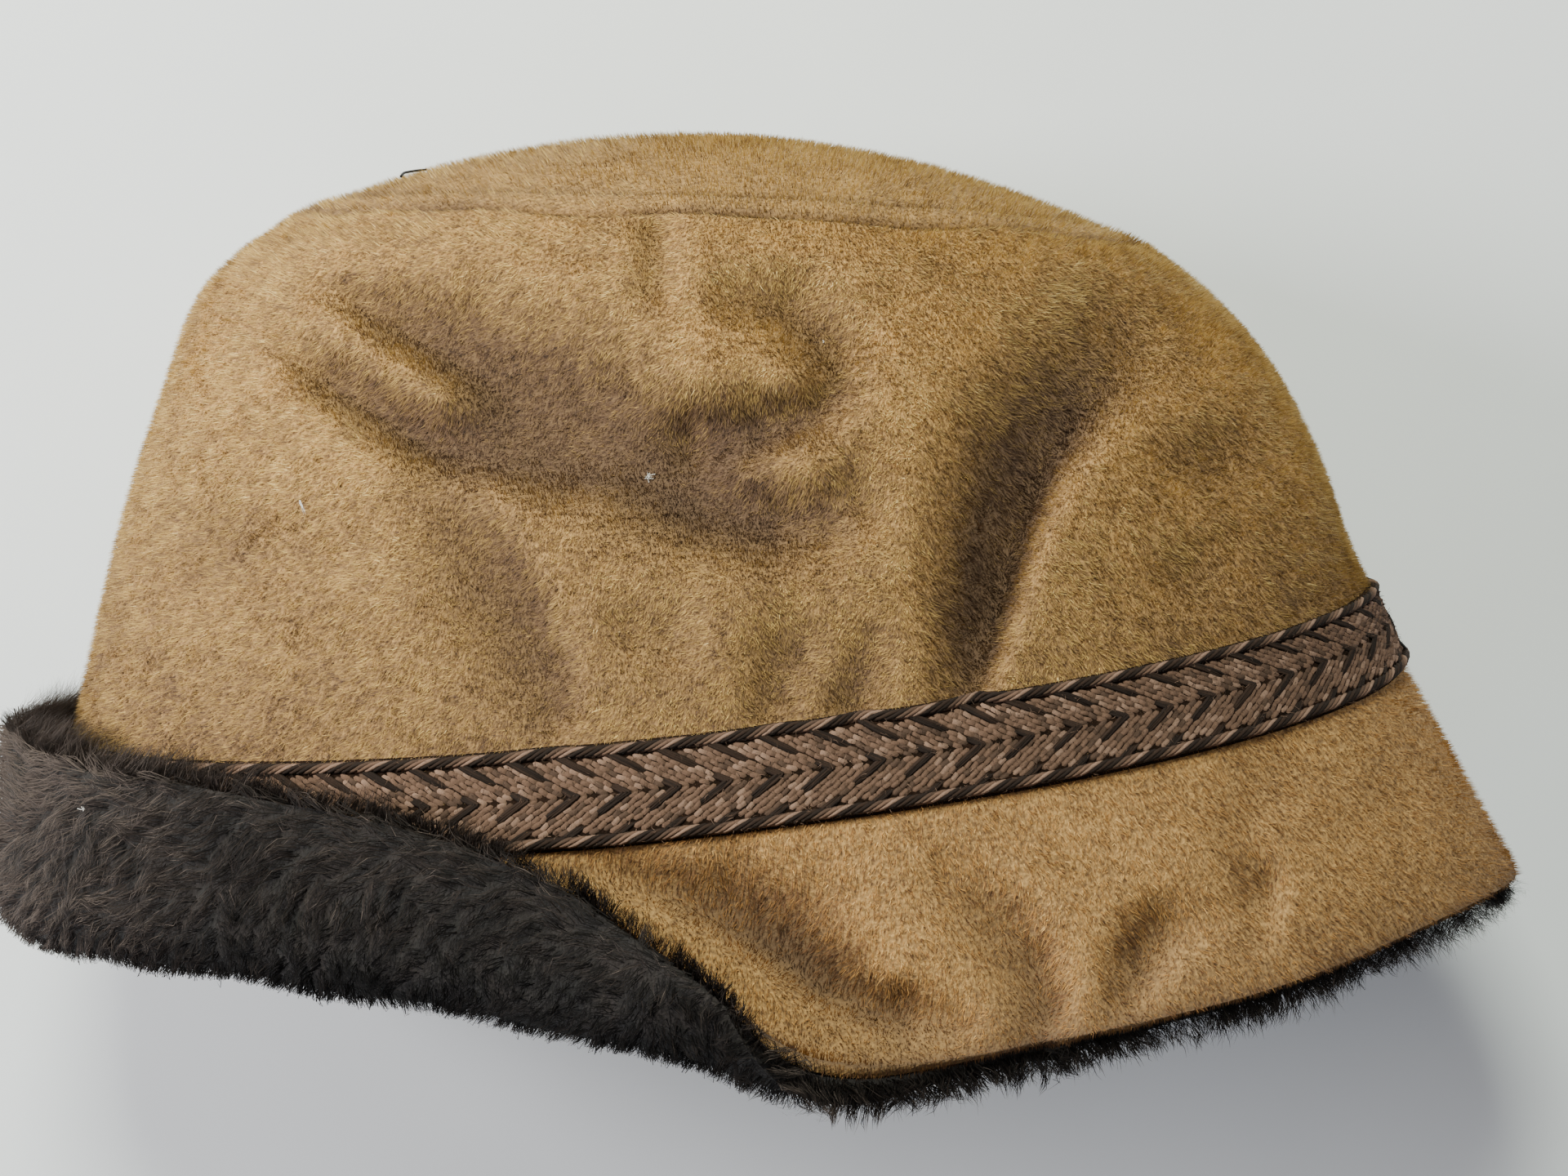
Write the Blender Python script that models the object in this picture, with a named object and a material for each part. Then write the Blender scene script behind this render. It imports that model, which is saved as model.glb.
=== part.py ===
"""A soft alpine hat of wool cloth with a fur-lined brim and a braided band, lying on its side.

+X runs to the front of the hat, +Y to the tip of the crown and +Z up off the table. The origin is on the table, under
the middle of the hat. The tables and sizes below are in millimetres and degrees; the x and y in the tables are taken
from a cutting mark, and the hat's middle lies at MIDDLE_X and MIDDLE_Y from it.

Every piece follows one surface, the outer face of the cloth. A place on it has a level, which runs from 0 at the middle
of the tip, over 1 at the tip seam and 2 at the foot of the braid, to 3 at the edge of the brim and 4 where the fur
ends, and a turn, the angle round the hat from the front over the upper side to the back and home along the table.
"""

import math
from collections import namedtuple

import bmesh
import bpy
import numpy as np

MM = 0.001
STATIONS_ROUND = 60
SIDE_CROWDING = 0.18
UPPER_CROWDING = 0.18

CLOTH = 2.2
GAP = 0.35
TIP_RISE = 19.0
SEAM_WIDTH = 4.7
SEAM_HEIGHT = 0.8
BRAID_THICKNESS = 2.2
BRAID_EDGE_THICKNESS = 2.7
CUFF_LEAN = 2.0
PILE = 6.6
LOCK_HEIGHT = 1.4
LOCKS_ROUND = 20
FUR_OVERHANG = 2.5
PRESSED_FUR = 1.4
PRESSED_RADIUS = 3.4
UNDER_SAG_SHARE = 0.3
UNDER_FLATTENING = 1.4
MIDDLE_X = -2.7
MIDDLE_Y = 1.7

TIP_SEAM_LEVEL = 1.0
BRAID_TOP_LEVEL = 1.857
JOIN_LEVEL = 1.93
BRAID_FOOT_LEVEL = 2.0
EDGE_LEVEL = 3.0
FUR_EDGE_LEVEL = 4.0

# Ovals across the hat, from the tip seam to the foot of the braid: where the back and the front end of each lie, how
# high its lower and upper side stand off the table, and how far its upper side sags towards the brim.
Section = namedtuple("Section", "name back_x back_y front_x front_y floor_z top_z sag")
SECTIONS = (
    Section("tip seam", -91.7, 74.6, 75.0, 68.6, -1.5, 95.0, 1.8),
    Section("shoulder", -103.4, 66.4, 83.3, 62.9, -1.5, 100.0, 2.6),
    Section("upper wall", -110.8, 57.0, 90.5, 55.9, -1.0, 104.0, 3.6),
    Section("middle wall", -115.8, 39.8, 99.0, 43.8, 3.0, 112.0, 5.5),
    Section("lower wall", -121.8, 17.4, 106.7, 26.8, 6.5, 120.0, 8.0),
    Section("above the braid", -126.3, -5.4, 111.4, 10.7, 9.0, 127.0, 10.5),
    Section("braid top", -129.6, -24.8, 114.6, 2.8, 10.6, 131.0, 12.7),
    Section("braid foot", -131.2, -41.8, 121.0, -12.0, 11.4, 133.0, 14.4),
)

# The brim, from the front round to the back: its width, how far below the braid it turns up, which is its whole width
# where it stays down, the radius of that turn, and how many degrees it flares from the wall on the upper side and on
# the side that lies on the table.
Turn = namedtuple("Turn", "angle width drop radius upper_flare under_flare")
BRIM_TURNS = (
    Turn(0, 45.5, 45.5, 9.0, 5, 5),
    Turn(30, 41.5, 41.5, 9.0, 3, 13),
    Turn(55, 43.0, 43.0, 9.0, 5, 23),
    Turn(68, 43.0, 42.5, 9.0, 5, 18),
    Turn(77, 43.0, 39.5, 8.5, 5, 8),
    Turn(86, 43.5, 33.5, 6.5, 5, 2),
    Turn(93, 44.5, 28.0, 4.5, 5, 0),
    Turn(103, 45.0, 21.0, 3.2, 4, 0),
    Turn(113, 44.0, 16.0, 2.8, 4, 0),
    Turn(124, 41.5, 12.0, 2.8, 4, 0),
    Turn(140, 39.5, 9.0, 2.8, 3, 0),
    Turn(160, 43.0, 9.5, 2.8, 2, 0),
    Turn(180, 45.5, 10.5, 2.8, 2, 2),
)

# Dents and swells of the upper side: each runs from one place to another as seen from above. Depth is down.
Fold = namedtuple("Fold", "name x0 y0 x1 y1 half_width depth")
FOLDS = (
    Fold("long dent, head", -78, 57, -46, 36, 8, 7),
    Fold("long dent, second head", -82, 44, -48, 23, 8, 6),
    Fold("long dent, middle", -46, 30, -18, 17, 12, 10),
    Fold("long dent, foot", -18, 16, 14, 9, 10, 9),
    Fold("swell between the heads", -62, 36, -50, 29, 7, -3),
    Fold("hook dent, side", -4, 54, 11, 42, 8, 6),
    Fold("hook dent, foot", -12, 30, 9, 33, 7, 7),
    Fold("tongue swell", -30, 44, 2, 40, 9, -4),
    Fold("front dent, head", 62, 47, 53, 26, 12, 9),
    Fold("front dent, foot", 50, 20, 39, -11, 9, 9),
    Fold("small front dent", 91, 25, 77, 3, 8, 4),
    Fold("dimple over the braid", 11, -11, 18, -13, 7, 3),
    Fold("back dimple over the braid", -20, -3, -18, -13, 8, 3),
    Fold("back dent", -47, 12, -35, -15, 9, 4),
    Fold("back hollow", -106, 12, -78, 9, 9, 4),
    Fold("notch under the tip", -19, 66, -16, 50, 6, 2),
    Fold("brim dent, head", -26, -46, -4, -57, 8, 5),
    Fold("brim dent, foot", -4, -58, 17, -66, 8, 5),
    Fold("brim hollow", 47, -54, 49, -72, 8, 4),
    Fold("second brim hollow", 64, -55, 78, -58, 8, 3),
    Fold("third brim hollow", 90, -37, 92, -50, 8, 3),
)


def smooth(at, knots, values):
    """Values between the rows of a table, on a curve that keeps each row and never overshoots."""
    knots, values = np.asarray(knots, float), np.asarray(values, float)
    span = np.diff(knots)
    slope = np.diff(values) / span
    tangent = np.concatenate([slope[:1], np.zeros(len(slope) - 1), slope[-1:]])
    product = slope[:-1] * slope[1:]
    total = slope[:-1] + slope[1:]
    rising = product > 0
    tangent[1:-1][rising] = 2 * product[rising] / total[rising]
    index = np.clip(np.searchsorted(knots, at, side="right") - 1, 0, len(span) - 1)
    t = np.clip((at - knots[index]) / span[index], 0, 1)
    start, end = values[index], values[index + 1]
    leave, arrive = tangent[index] * span[index], tangent[index + 1] * span[index]
    return (
        start * (2 * t**3 - 3 * t**2 + 1)
        + leave * (t**3 - 2 * t**2 + t)
        + end * (3 * t**2 - 2 * t**3)
        + arrive * (t**3 - t**2)
    )


def sag_share(up):
    """The share of a section's sag at a height: 1 at its top, 0 at its ends, and a small rise along the table."""
    softness = 0.02
    upper, under = (1 + UNDER_SAG_SHARE) / 2, (1 - UNDER_SAG_SHARE) / 2
    return upper * up + under * (np.sqrt(up**2 + softness) - math.sqrt(softness))


def wall_points(level, turn):
    """Places on the side of the crown, for levels from 1 to 2."""
    row = (level - TIP_SEAM_LEVEL) * (len(SECTIONS) - 1)
    columns = np.array([section[1:] for section in SECTIONS]).T
    back_x, back_y, front_x, front_y, floor_z, top_z, sag = (
        smooth(row, range(len(SECTIONS)), column) for column in columns
    )
    ahead, up = np.cos(turn), np.sin(turn)
    height = np.where(up > 0, up, np.clip(1 + up, 0, 1) ** UNDER_FLATTENING - 1)
    x = (front_x + back_x) / 2 + (front_x - back_x) / 2 * ahead
    y = (front_y + back_y) / 2 + (front_y - back_y) / 2 * ahead - sag * sag_share(up)
    z = (top_z + floor_z) / 2 + (top_z - floor_z) / 2 * height
    return np.stack([x - MIDDLE_X, y - MIDDLE_Y, z], axis=-1)


def tip_points(level, turn):
    """Places on the tip, a low dome inside the seam."""
    rim = wall_points(np.full_like(level, TIP_SEAM_LEVEL), turn)
    front, back = (wall_points(np.ones(1), np.full(1, end))[0] for end in (0, math.pi))
    middle = (front + back) / 2
    rise = TIP_RISE * np.clip(1 - level**2, 0, 1)
    points = middle + level[..., None] * (rim - middle)
    points[..., 1] += rise
    return points


def unit(vectors):
    return vectors / np.linalg.norm(vectors, axis=-1, keepdims=True)


def brim_turn(turn):
    """The brim's width, its drop, the radius of its turn and its flare at an angle round the hat."""
    degrees = np.degrees(turn) % 360
    upper = degrees <= 180
    angle = np.where(upper, degrees, 360 - degrees)
    angles, *columns = np.array(BRIM_TURNS, float).T
    width, drop, radius, upper_flare, under_flare = (smooth(angle, angles, column) for column in columns)
    radius = np.where(upper, radius, np.minimum(radius, PRESSED_RADIUS))
    return width, drop, radius, np.radians(np.where(upper, upper_flare, under_flare))


def brim_run(level, width, drop, radius):
    """The way along the brim from the braid at a level, with its steps closest where the brim turns up."""
    bend = np.minimum(drop, width - 11)
    arc = np.minimum(math.pi * radius, width - bend - 2)
    share = np.minimum(level, EDGE_LEVEL) - BRAID_FOOT_LEVEL
    before, after = 0.42, 0.70
    along = np.where(share < before, share / before * bend, bend + (share - before) / (after - before) * arc)
    last = bend + arc + (share - after) / (1 - after) * (width - bend - arc)
    return np.where(share > after, last, along)


def brim_points(level, turn):
    """Places on the brim: straight down from the braid, round the fold, and up again outside the braid."""
    foot = np.full_like(level, BRAID_FOOT_LEVEL)
    start = wall_points(foot, turn)
    down = unit(start - wall_points(foot - 0.03, turn))
    around = wall_points(foot, turn + 0.01) - wall_points(foot, turn - 0.01)
    out = unit(np.cross(around, down))
    width, drop, radius, flare = brim_turn(turn)
    cosine, sine = np.cos(flare)[..., None], np.sin(flare)[..., None]
    down, out = cosine * down + sine * out, cosine * out - sine * down
    run = brim_run(level, width, drop, radius) + np.clip(level - EDGE_LEVEL, 0, None) * FUR_OVERHANG
    bent = np.clip((run - drop) / radius, 0, math.pi)
    risen = np.clip(run - drop - math.pi * radius, 0, None)
    lean = math.radians(CUFF_LEAN)
    along = np.minimum(run, drop) + radius * np.sin(bent) - risen * math.cos(lean)
    outward = radius * (1 - np.cos(bent)) + risen * math.sin(lean)
    return start + down * along[..., None] + out * outward[..., None]


def fold_depth(points):
    """How far down the dents press a place of the upper side."""
    place = points[..., :2] + np.array([MIDDLE_X, MIDDLE_Y])
    depth = np.zeros(place.shape[:-1])
    for fold in FOLDS:
        start, end = np.array([fold.x0, fold.y0]), np.array([fold.x1, fold.y1])
        way = end - start
        share = np.clip(((place - start) @ way) / (way @ way), 0, 1)
        distance = np.linalg.norm(place - start - share[..., None] * way, axis=-1)
        depth += fold.depth * np.exp(-((distance / fold.half_width) ** 2))
    return depth


def hat_points(level, turn):
    """Places on the outer face of the cloth."""
    points = np.where(
        (level < TIP_SEAM_LEVEL)[..., None],
        tip_points(np.minimum(level, TIP_SEAM_LEVEL), turn),
        np.where(
            (level < BRAID_FOOT_LEVEL)[..., None],
            wall_points(np.clip(level, TIP_SEAM_LEVEL, BRAID_FOOT_LEVEL), turn),
            brim_points(np.maximum(level, BRAID_FOOT_LEVEL), turn),
        ),
    )
    share = np.clip(np.sin(turn) / 0.35, 0, 1)
    points[..., 2] -= fold_depth(points) * share**2 * (3 - 2 * share)
    return points


def square_out(level, turn, back, ahead):
    """The way out of the cloth, square to the stretch of it that lies between two levels about a place."""
    around = hat_points(level, turn + 0.004) - hat_points(level, turn - 0.004)
    onward = hat_points(level + ahead, turn) - hat_points(np.maximum(level - back, 0.001), turn)
    return unit(np.cross(around, onward))


def hat_normals(level, turn):
    """The way out of the cloth for a height of one, mitred at the corner of the tip seam."""
    seam = np.full_like(level, TIP_SEAM_LEVEL)
    tip_side, wall_side = square_out(seam, turn, 0.01, 0), square_out(seam, turn, 0, 0.01)
    mitre = (tip_side + wall_side) / (1 + np.sum(tip_side * wall_side, axis=-1, keepdims=True))
    at_seam = (np.abs(level - TIP_SEAM_LEVEL) < 0.012)[..., None]
    return np.where(at_seam, mitre, square_out(level, turn, 0.008, 0.008))


def stations():
    """Angles round the hat, closer on its two long sides than at its ends, and closest on the dented upper one."""
    even = np.arange(STATIONS_ROUND) / STATIONS_ROUND * 2 * math.pi
    return even + SIDE_CROWDING * np.sin(2 * even) + UPPER_CROWDING * np.cos(even)


def face_rows(levels, heights, lowest):
    """Rows of points at some heights over the cloth's outer face, none of them nearer the table than lowest."""
    level, turn = np.meshgrid(levels, stations(), indexing="ij")
    height = np.broadcast_to(np.asarray(heights, float), level.T.shape).T
    points = hat_points(level, turn) + hat_normals(level, turn) * height[..., None]
    points[..., 2] = np.maximum(points[..., 2], lowest)
    return points


def resting_height(down, up):
    """The least height over the table for a face of the brim: one where it is turned down, another where it is up."""
    width, drop, *_ = brim_turn(stations())
    return down + (up - down) * np.clip((width - drop) / 8, 0, 1)


def pole(height):
    """The middle of the tip at some height over the cloth's outer face."""
    middle = hat_points(np.zeros(1), np.zeros(1))[0]
    return middle + np.array([0, height, 0])


def closed_body(name, outer, inner, material, poles=()):
    """A closed body lofted through its rows: over the outer face and back along the inner one, or, where the piece
    is a disc, from one pole to the other. The slant of its triangles is the same on both faces, so that the faces of
    neighbouring layers nest."""
    shape = bmesh.new()
    grid = [[shape.verts.new(point) for point in row] for row in np.concatenate([outer, inner[::-1]]) * MM]
    following_rows = grid[1:] if poles else grid[1:] + grid[:1]
    for step, (row, following) in enumerate(zip(grid, following_rows)):
        for i in range(STATIONS_ROUND):
            corners = (row[i - 1], row[i], following[i], following[i - 1])
            start = 0 if step < len(outer) else 1
            for second, third in ((1, 2), (2, 3)):
                shape.faces.new([corners[(start + k) % 4] for k in (0, second, third)])
    for point, row in zip(poles, (grid[0], grid[-1])):
        centre = shape.verts.new(np.array(point) * MM)
        for i in range(STATIONS_ROUND):
            shape.faces.new((centre, row[i - 1], row[i]))
    bmesh.ops.recalc_face_normals(shape, faces=shape.faces)
    mesh = bpy.data.meshes.new(name)
    shape.to_mesh(mesh)
    shape.free()
    mesh.shade_smooth()
    mesh.set_sharp_from_angle(angle=math.radians(60))
    mesh.materials.append(material)
    body = bpy.data.objects.new(name, mesh)
    bpy.data.collections["alpine_hat"].objects.link(body)
    return body


def finish(name, colour, roughness):
    material = bpy.data.materials.new(name)
    material.use_nodes = True
    shader = material.node_tree.nodes["Principled BSDF"]
    shader.inputs["Base Color"].default_value = (*colour, 1)
    shader.inputs["Roughness"].default_value = roughness
    shader.inputs["Metallic"].default_value = 0
    return material


def crown_tip(cloth):
    """The oval top of the crown. Its rim is raised where the seam allowance is turned in and stitched down."""
    rim = TIP_SEAM_LEVEL - 0.003
    rim_radius = (SECTIONS[0].top_z - SECTIONS[0].floor_z) / 2
    seam = SEAM_WIDTH / rim_radius
    levels = np.array([0.25, 0.5, 0.72, rim - seam - 0.02, rim - seam * 0.8, rim - seam * 0.2, rim])
    heights = np.array([0, 0, 0, 0, SEAM_HEIGHT, SEAM_HEIGHT, SEAM_HEIGHT * 0.3])
    outer = face_rows(levels, heights, 0)
    under = levels[[0, 2, 4, 6]]
    inner = face_rows(under, -CLOTH, CLOTH)
    return closed_body("crown_tip", outer, inner, cloth, poles=(pole(0), pole(-CLOTH)))


def wall_levels():
    """Levels of the crown's side, from the tip seam to its join under the braid."""
    side = np.linspace(TIP_SEAM_LEVEL + 0.006, BRAID_TOP_LEVEL, 13)
    return np.append(side, JOIN_LEVEL - 0.0015)


def brim_levels():
    """Levels of the brim, from its join under the braid to its edge."""
    return np.concatenate(
        [
            [JOIN_LEVEL + 0.0015],
            np.linspace(BRAID_FOOT_LEVEL, 2.42, 4),
            np.linspace(2.49, 2.70, 4),
            np.linspace(2.80, EDGE_LEVEL, 3),
        ]
    )


def crown_wall(cloth):
    """The side of the crown, dented on its upper side and pressed flat where it lies on the table."""
    levels = wall_levels()
    return closed_body("crown_wall", face_rows(levels, 0, 0), face_rows(levels, -CLOTH, CLOTH), cloth)


def brim(cloth):
    """The brim, turned down in front and turned up round the back."""
    levels = brim_levels()
    outer = face_rows(levels, 0, resting_height(0, PRESSED_FUR + GAP + CLOTH))
    inner = face_rows(levels, -CLOTH, resting_height(CLOTH, PRESSED_FUR + GAP))
    return closed_body("brim", outer, inner, cloth)


def braid_band(yarn):
    """The braid round the foot of the crown, thicker along its two corded edges."""
    levels = np.array([BRAID_TOP_LEVEL, 1.873, 1.895, JOIN_LEVEL, 1.964, 1.984, BRAID_FOOT_LEVEL])
    edge, middle = BRAID_EDGE_THICKNESS, BRAID_THICKNESS
    heights = GAP + np.array([edge * 0.4, edge, middle, middle, middle, edge, edge * 0.4])
    outer = face_rows(levels, heights, 0)
    inner = face_rows(levels[[0, 3, 6]], GAP, 0)
    return closed_body("braid_band", outer, inner, yarn)


def lock_heights(levels):
    """The pile's height over its backing, row by row: locks that overlap like tiles, none of them at the two edges."""
    turn = stations()
    rows = []
    for row, level in enumerate(levels):
        stagger = math.pi * (row // 2 % 2)
        lock = np.abs(np.sin((LOCKS_ROUND * turn + stagger) / 2))
        step = 1 if row % 2 else 0.4
        rows.append(PILE + LOCK_HEIGHT * (lock * step - 0.4))
    heights = np.array(rows)
    heights[[0, -1]] = PILE * 0.35
    return heights


def fur_lining(fur):
    """The fur that lines the brim: inside it where it is turned down, outside and round the fold where it is up."""
    backing = -(CLOTH + GAP)
    near = np.append(brim_levels()[1:], FUR_EDGE_LEVEL)
    far = np.concatenate([[BRAID_FOOT_LEVEL, 2.06], np.linspace(2.18, EDGE_LEVEL, 9), [FUR_EDGE_LEVEL]])
    outer = face_rows(near, backing, resting_height(CLOTH + GAP, PRESSED_FUR))
    inner = face_rows(far, (backing - lock_heights(far)).T, 0)
    return closed_body("fur_lining", outer, inner, fur)


def main():
    for stale in list(bpy.data.objects):
        bpy.data.objects.remove(stale)
    collection = bpy.data.collections.new("alpine_hat")
    bpy.context.scene.collection.children.link(collection)
    cloth = finish("camel_wool_velour", (0.46, 0.29, 0.13), 0.95)
    yarn = finish("brown_braid_yarn", (0.14, 0.085, 0.065), 0.85)
    fur = finish("dark_brown_fur", (0.028, 0.02, 0.016), 0.9)
    crown_tip(cloth)
    crown_wall(cloth)
    brim(cloth)
    braid_band(yarn)
    fur_lining(fur)


main()
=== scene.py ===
"""Looks of a soft alpine hat of camel wool velour, with a braid and a fur-lined brim, lying on its side.

Sizes are in millimetres and degrees unless a name says otherwise. The sections of the crown and the turns
of the brim are the ones in the part's source, and the creases are drawn finer here. Their x and y are taken
from a cutting mark, and the hat's middle lies at MIDDLE_X and MIDDLE_Y from it.

Every piece follows one surface, the outer face of the cloth. A place on it has a level, which runs from 0 at
the middle of the tip, over 1 at the tip seam and 2 at the foot of the braid, to 3 at the edge of the brim and
4 where the fur ends. It also has a turn, the angle round the hat from the front over the upper side to the
back and home along the table.
"""

import math
from collections import namedtuple
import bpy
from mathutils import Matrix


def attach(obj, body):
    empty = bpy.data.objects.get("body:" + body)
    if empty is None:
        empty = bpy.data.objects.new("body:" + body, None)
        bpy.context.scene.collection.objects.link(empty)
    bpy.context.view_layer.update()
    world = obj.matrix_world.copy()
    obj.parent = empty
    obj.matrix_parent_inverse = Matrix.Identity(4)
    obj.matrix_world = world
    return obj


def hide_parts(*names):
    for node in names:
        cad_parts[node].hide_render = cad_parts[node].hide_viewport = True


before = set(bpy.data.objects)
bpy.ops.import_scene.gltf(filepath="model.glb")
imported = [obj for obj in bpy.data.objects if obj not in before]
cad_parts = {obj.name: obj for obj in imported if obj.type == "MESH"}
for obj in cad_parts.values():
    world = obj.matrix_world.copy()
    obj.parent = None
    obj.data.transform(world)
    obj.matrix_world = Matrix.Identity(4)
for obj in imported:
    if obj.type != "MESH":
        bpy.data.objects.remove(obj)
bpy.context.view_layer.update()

from types import SimpleNamespace

import bpy
import numpy as np
from mathutils import Vector
from mathutils.kdtree import KDTree

MM = 0.001

# Columns of a layer round the hat, and how much closer they stand on its long sides and on its upper one.
COLUMNS = 300
BRAID_COLUMNS = 1200
SIDE_CROWDING = 0.18
UPPER_CROWDING = 0.18

# The cloth and the shape of the hat. A reach is the way along the cloth from one level to the next.
CLOTH = 2.2
GAP = 0.35
TIP_RISE = 19.0
TIP_REACH = 48.0
WALL_REACH = 118.0
SEAM_WIDTH = 4.7
SEAM_HEIGHT = 0.8
SEAM_WAVE = 0.5
CUFF_LEAN = 2.0
PILE = 6.6
FUR_OVERHANG = 2.5
PRESSED_FUR = 1.4
PRESSED_RADIUS = 3.4
UNDER_SAG_SHARE = 0.3
UNDER_FLATTENING = 1.4
MIDDLE_X = -2.7
MIDDLE_Y = 1.7

# How steeply the side of a crease falls, and the sine of the turn over which creases fade out at the sides.
CREASE_STEEPNESS = 2.3
CREASE_FADE = 0.35

# Cloth that always stays for the brim's turn and what rises past it, and for the rise alone.
LEAST_TURNED = 11
LEAST_RISEN = 2

FIRST_LEVEL = 0.001
TIP_SEAM_LEVEL = 1.0
BRAID_TOP_LEVEL = 1.857
JOIN_LEVEL = 1.93
BRAID_FOOT_LEVEL = 2.0
EDGE_LEVEL = 3.0
FUR_EDGE_LEVEL = 4.0

# Half the slit that is left between two sewn pieces, in levels: at the tip seam, and where crown and brim
# join.
TIP_SLIT = 0.0005
JOIN_SLIT = 0.0015

# Steps, in levels and in radians, over which the way out of the cloth and the way along it are measured.
LEVEL_STEP = 0.008
SEAM_STEP = 0.01
MITRE_REACH = 0.012
ONWARD_STEP = 0.012
TURN_STEP = 0.004

# Ovals across the hat, from the tip seam to the foot of the braid: where the back and the front end of each
# lie, how high its lower and upper side stand off the table, and how far its upper side sags towards the
# brim.
Section = namedtuple("Section", "name back_x back_y front_x front_y floor_z top_z sag")
SECTIONS = (
    Section("tip seam", -91.7, 74.6, 75.0, 68.6, -1.5, 95.0, 1.8),
    Section("shoulder", -103.4, 66.4, 83.3, 62.9, -1.5, 100.0, 2.6),
    Section("upper wall", -110.8, 57.0, 90.5, 55.9, -1.0, 104.0, 3.6),
    Section("middle wall", -115.8, 39.8, 99.0, 43.8, 3.0, 112.0, 5.5),
    Section("lower wall", -121.8, 17.4, 106.7, 26.8, 6.5, 120.0, 8.0),
    Section("above the braid", -126.3, -5.4, 111.4, 10.7, 9.0, 127.0, 10.5),
    Section("braid top", -129.6, -24.8, 114.6, 2.8, 10.6, 131.0, 12.7),
    Section("braid foot", -131.2, -41.8, 121.0, -12.0, 11.4, 133.0, 14.4),
)

# The brim, from the front round to the back: its width, how far below the braid it turns up, which is its
# whole width where it stays down, the radius of that turn, and how many degrees it flares from the wall on
# the upper side and on the side that lies on the table.
Turn = namedtuple("Turn", "angle width drop radius upper_flare under_flare")
BRIM_TURNS = (
    Turn(0, 45.5, 45.5, 9.0, 5, 5),
    Turn(30, 41.5, 41.5, 9.0, 3, 13),
    Turn(55, 43.0, 43.0, 9.0, 5, 23),
    Turn(68, 43.0, 42.5, 9.0, 5, 18),
    Turn(77, 43.0, 39.5, 8.5, 5, 8),
    Turn(86, 43.5, 33.5, 6.5, 5, 2),
    Turn(93, 44.5, 28.0, 4.5, 5, 0),
    Turn(103, 45.0, 21.0, 3.2, 4, 0),
    Turn(113, 44.0, 16.0, 2.8, 4, 0),
    Turn(124, 41.5, 12.0, 2.8, 4, 0),
    Turn(140, 39.5, 9.0, 2.8, 3, 0),
    Turn(160, 43.0, 9.5, 2.8, 2, 0),
    Turn(180, 45.5, 10.5, 2.8, 2, 2),
)

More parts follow.
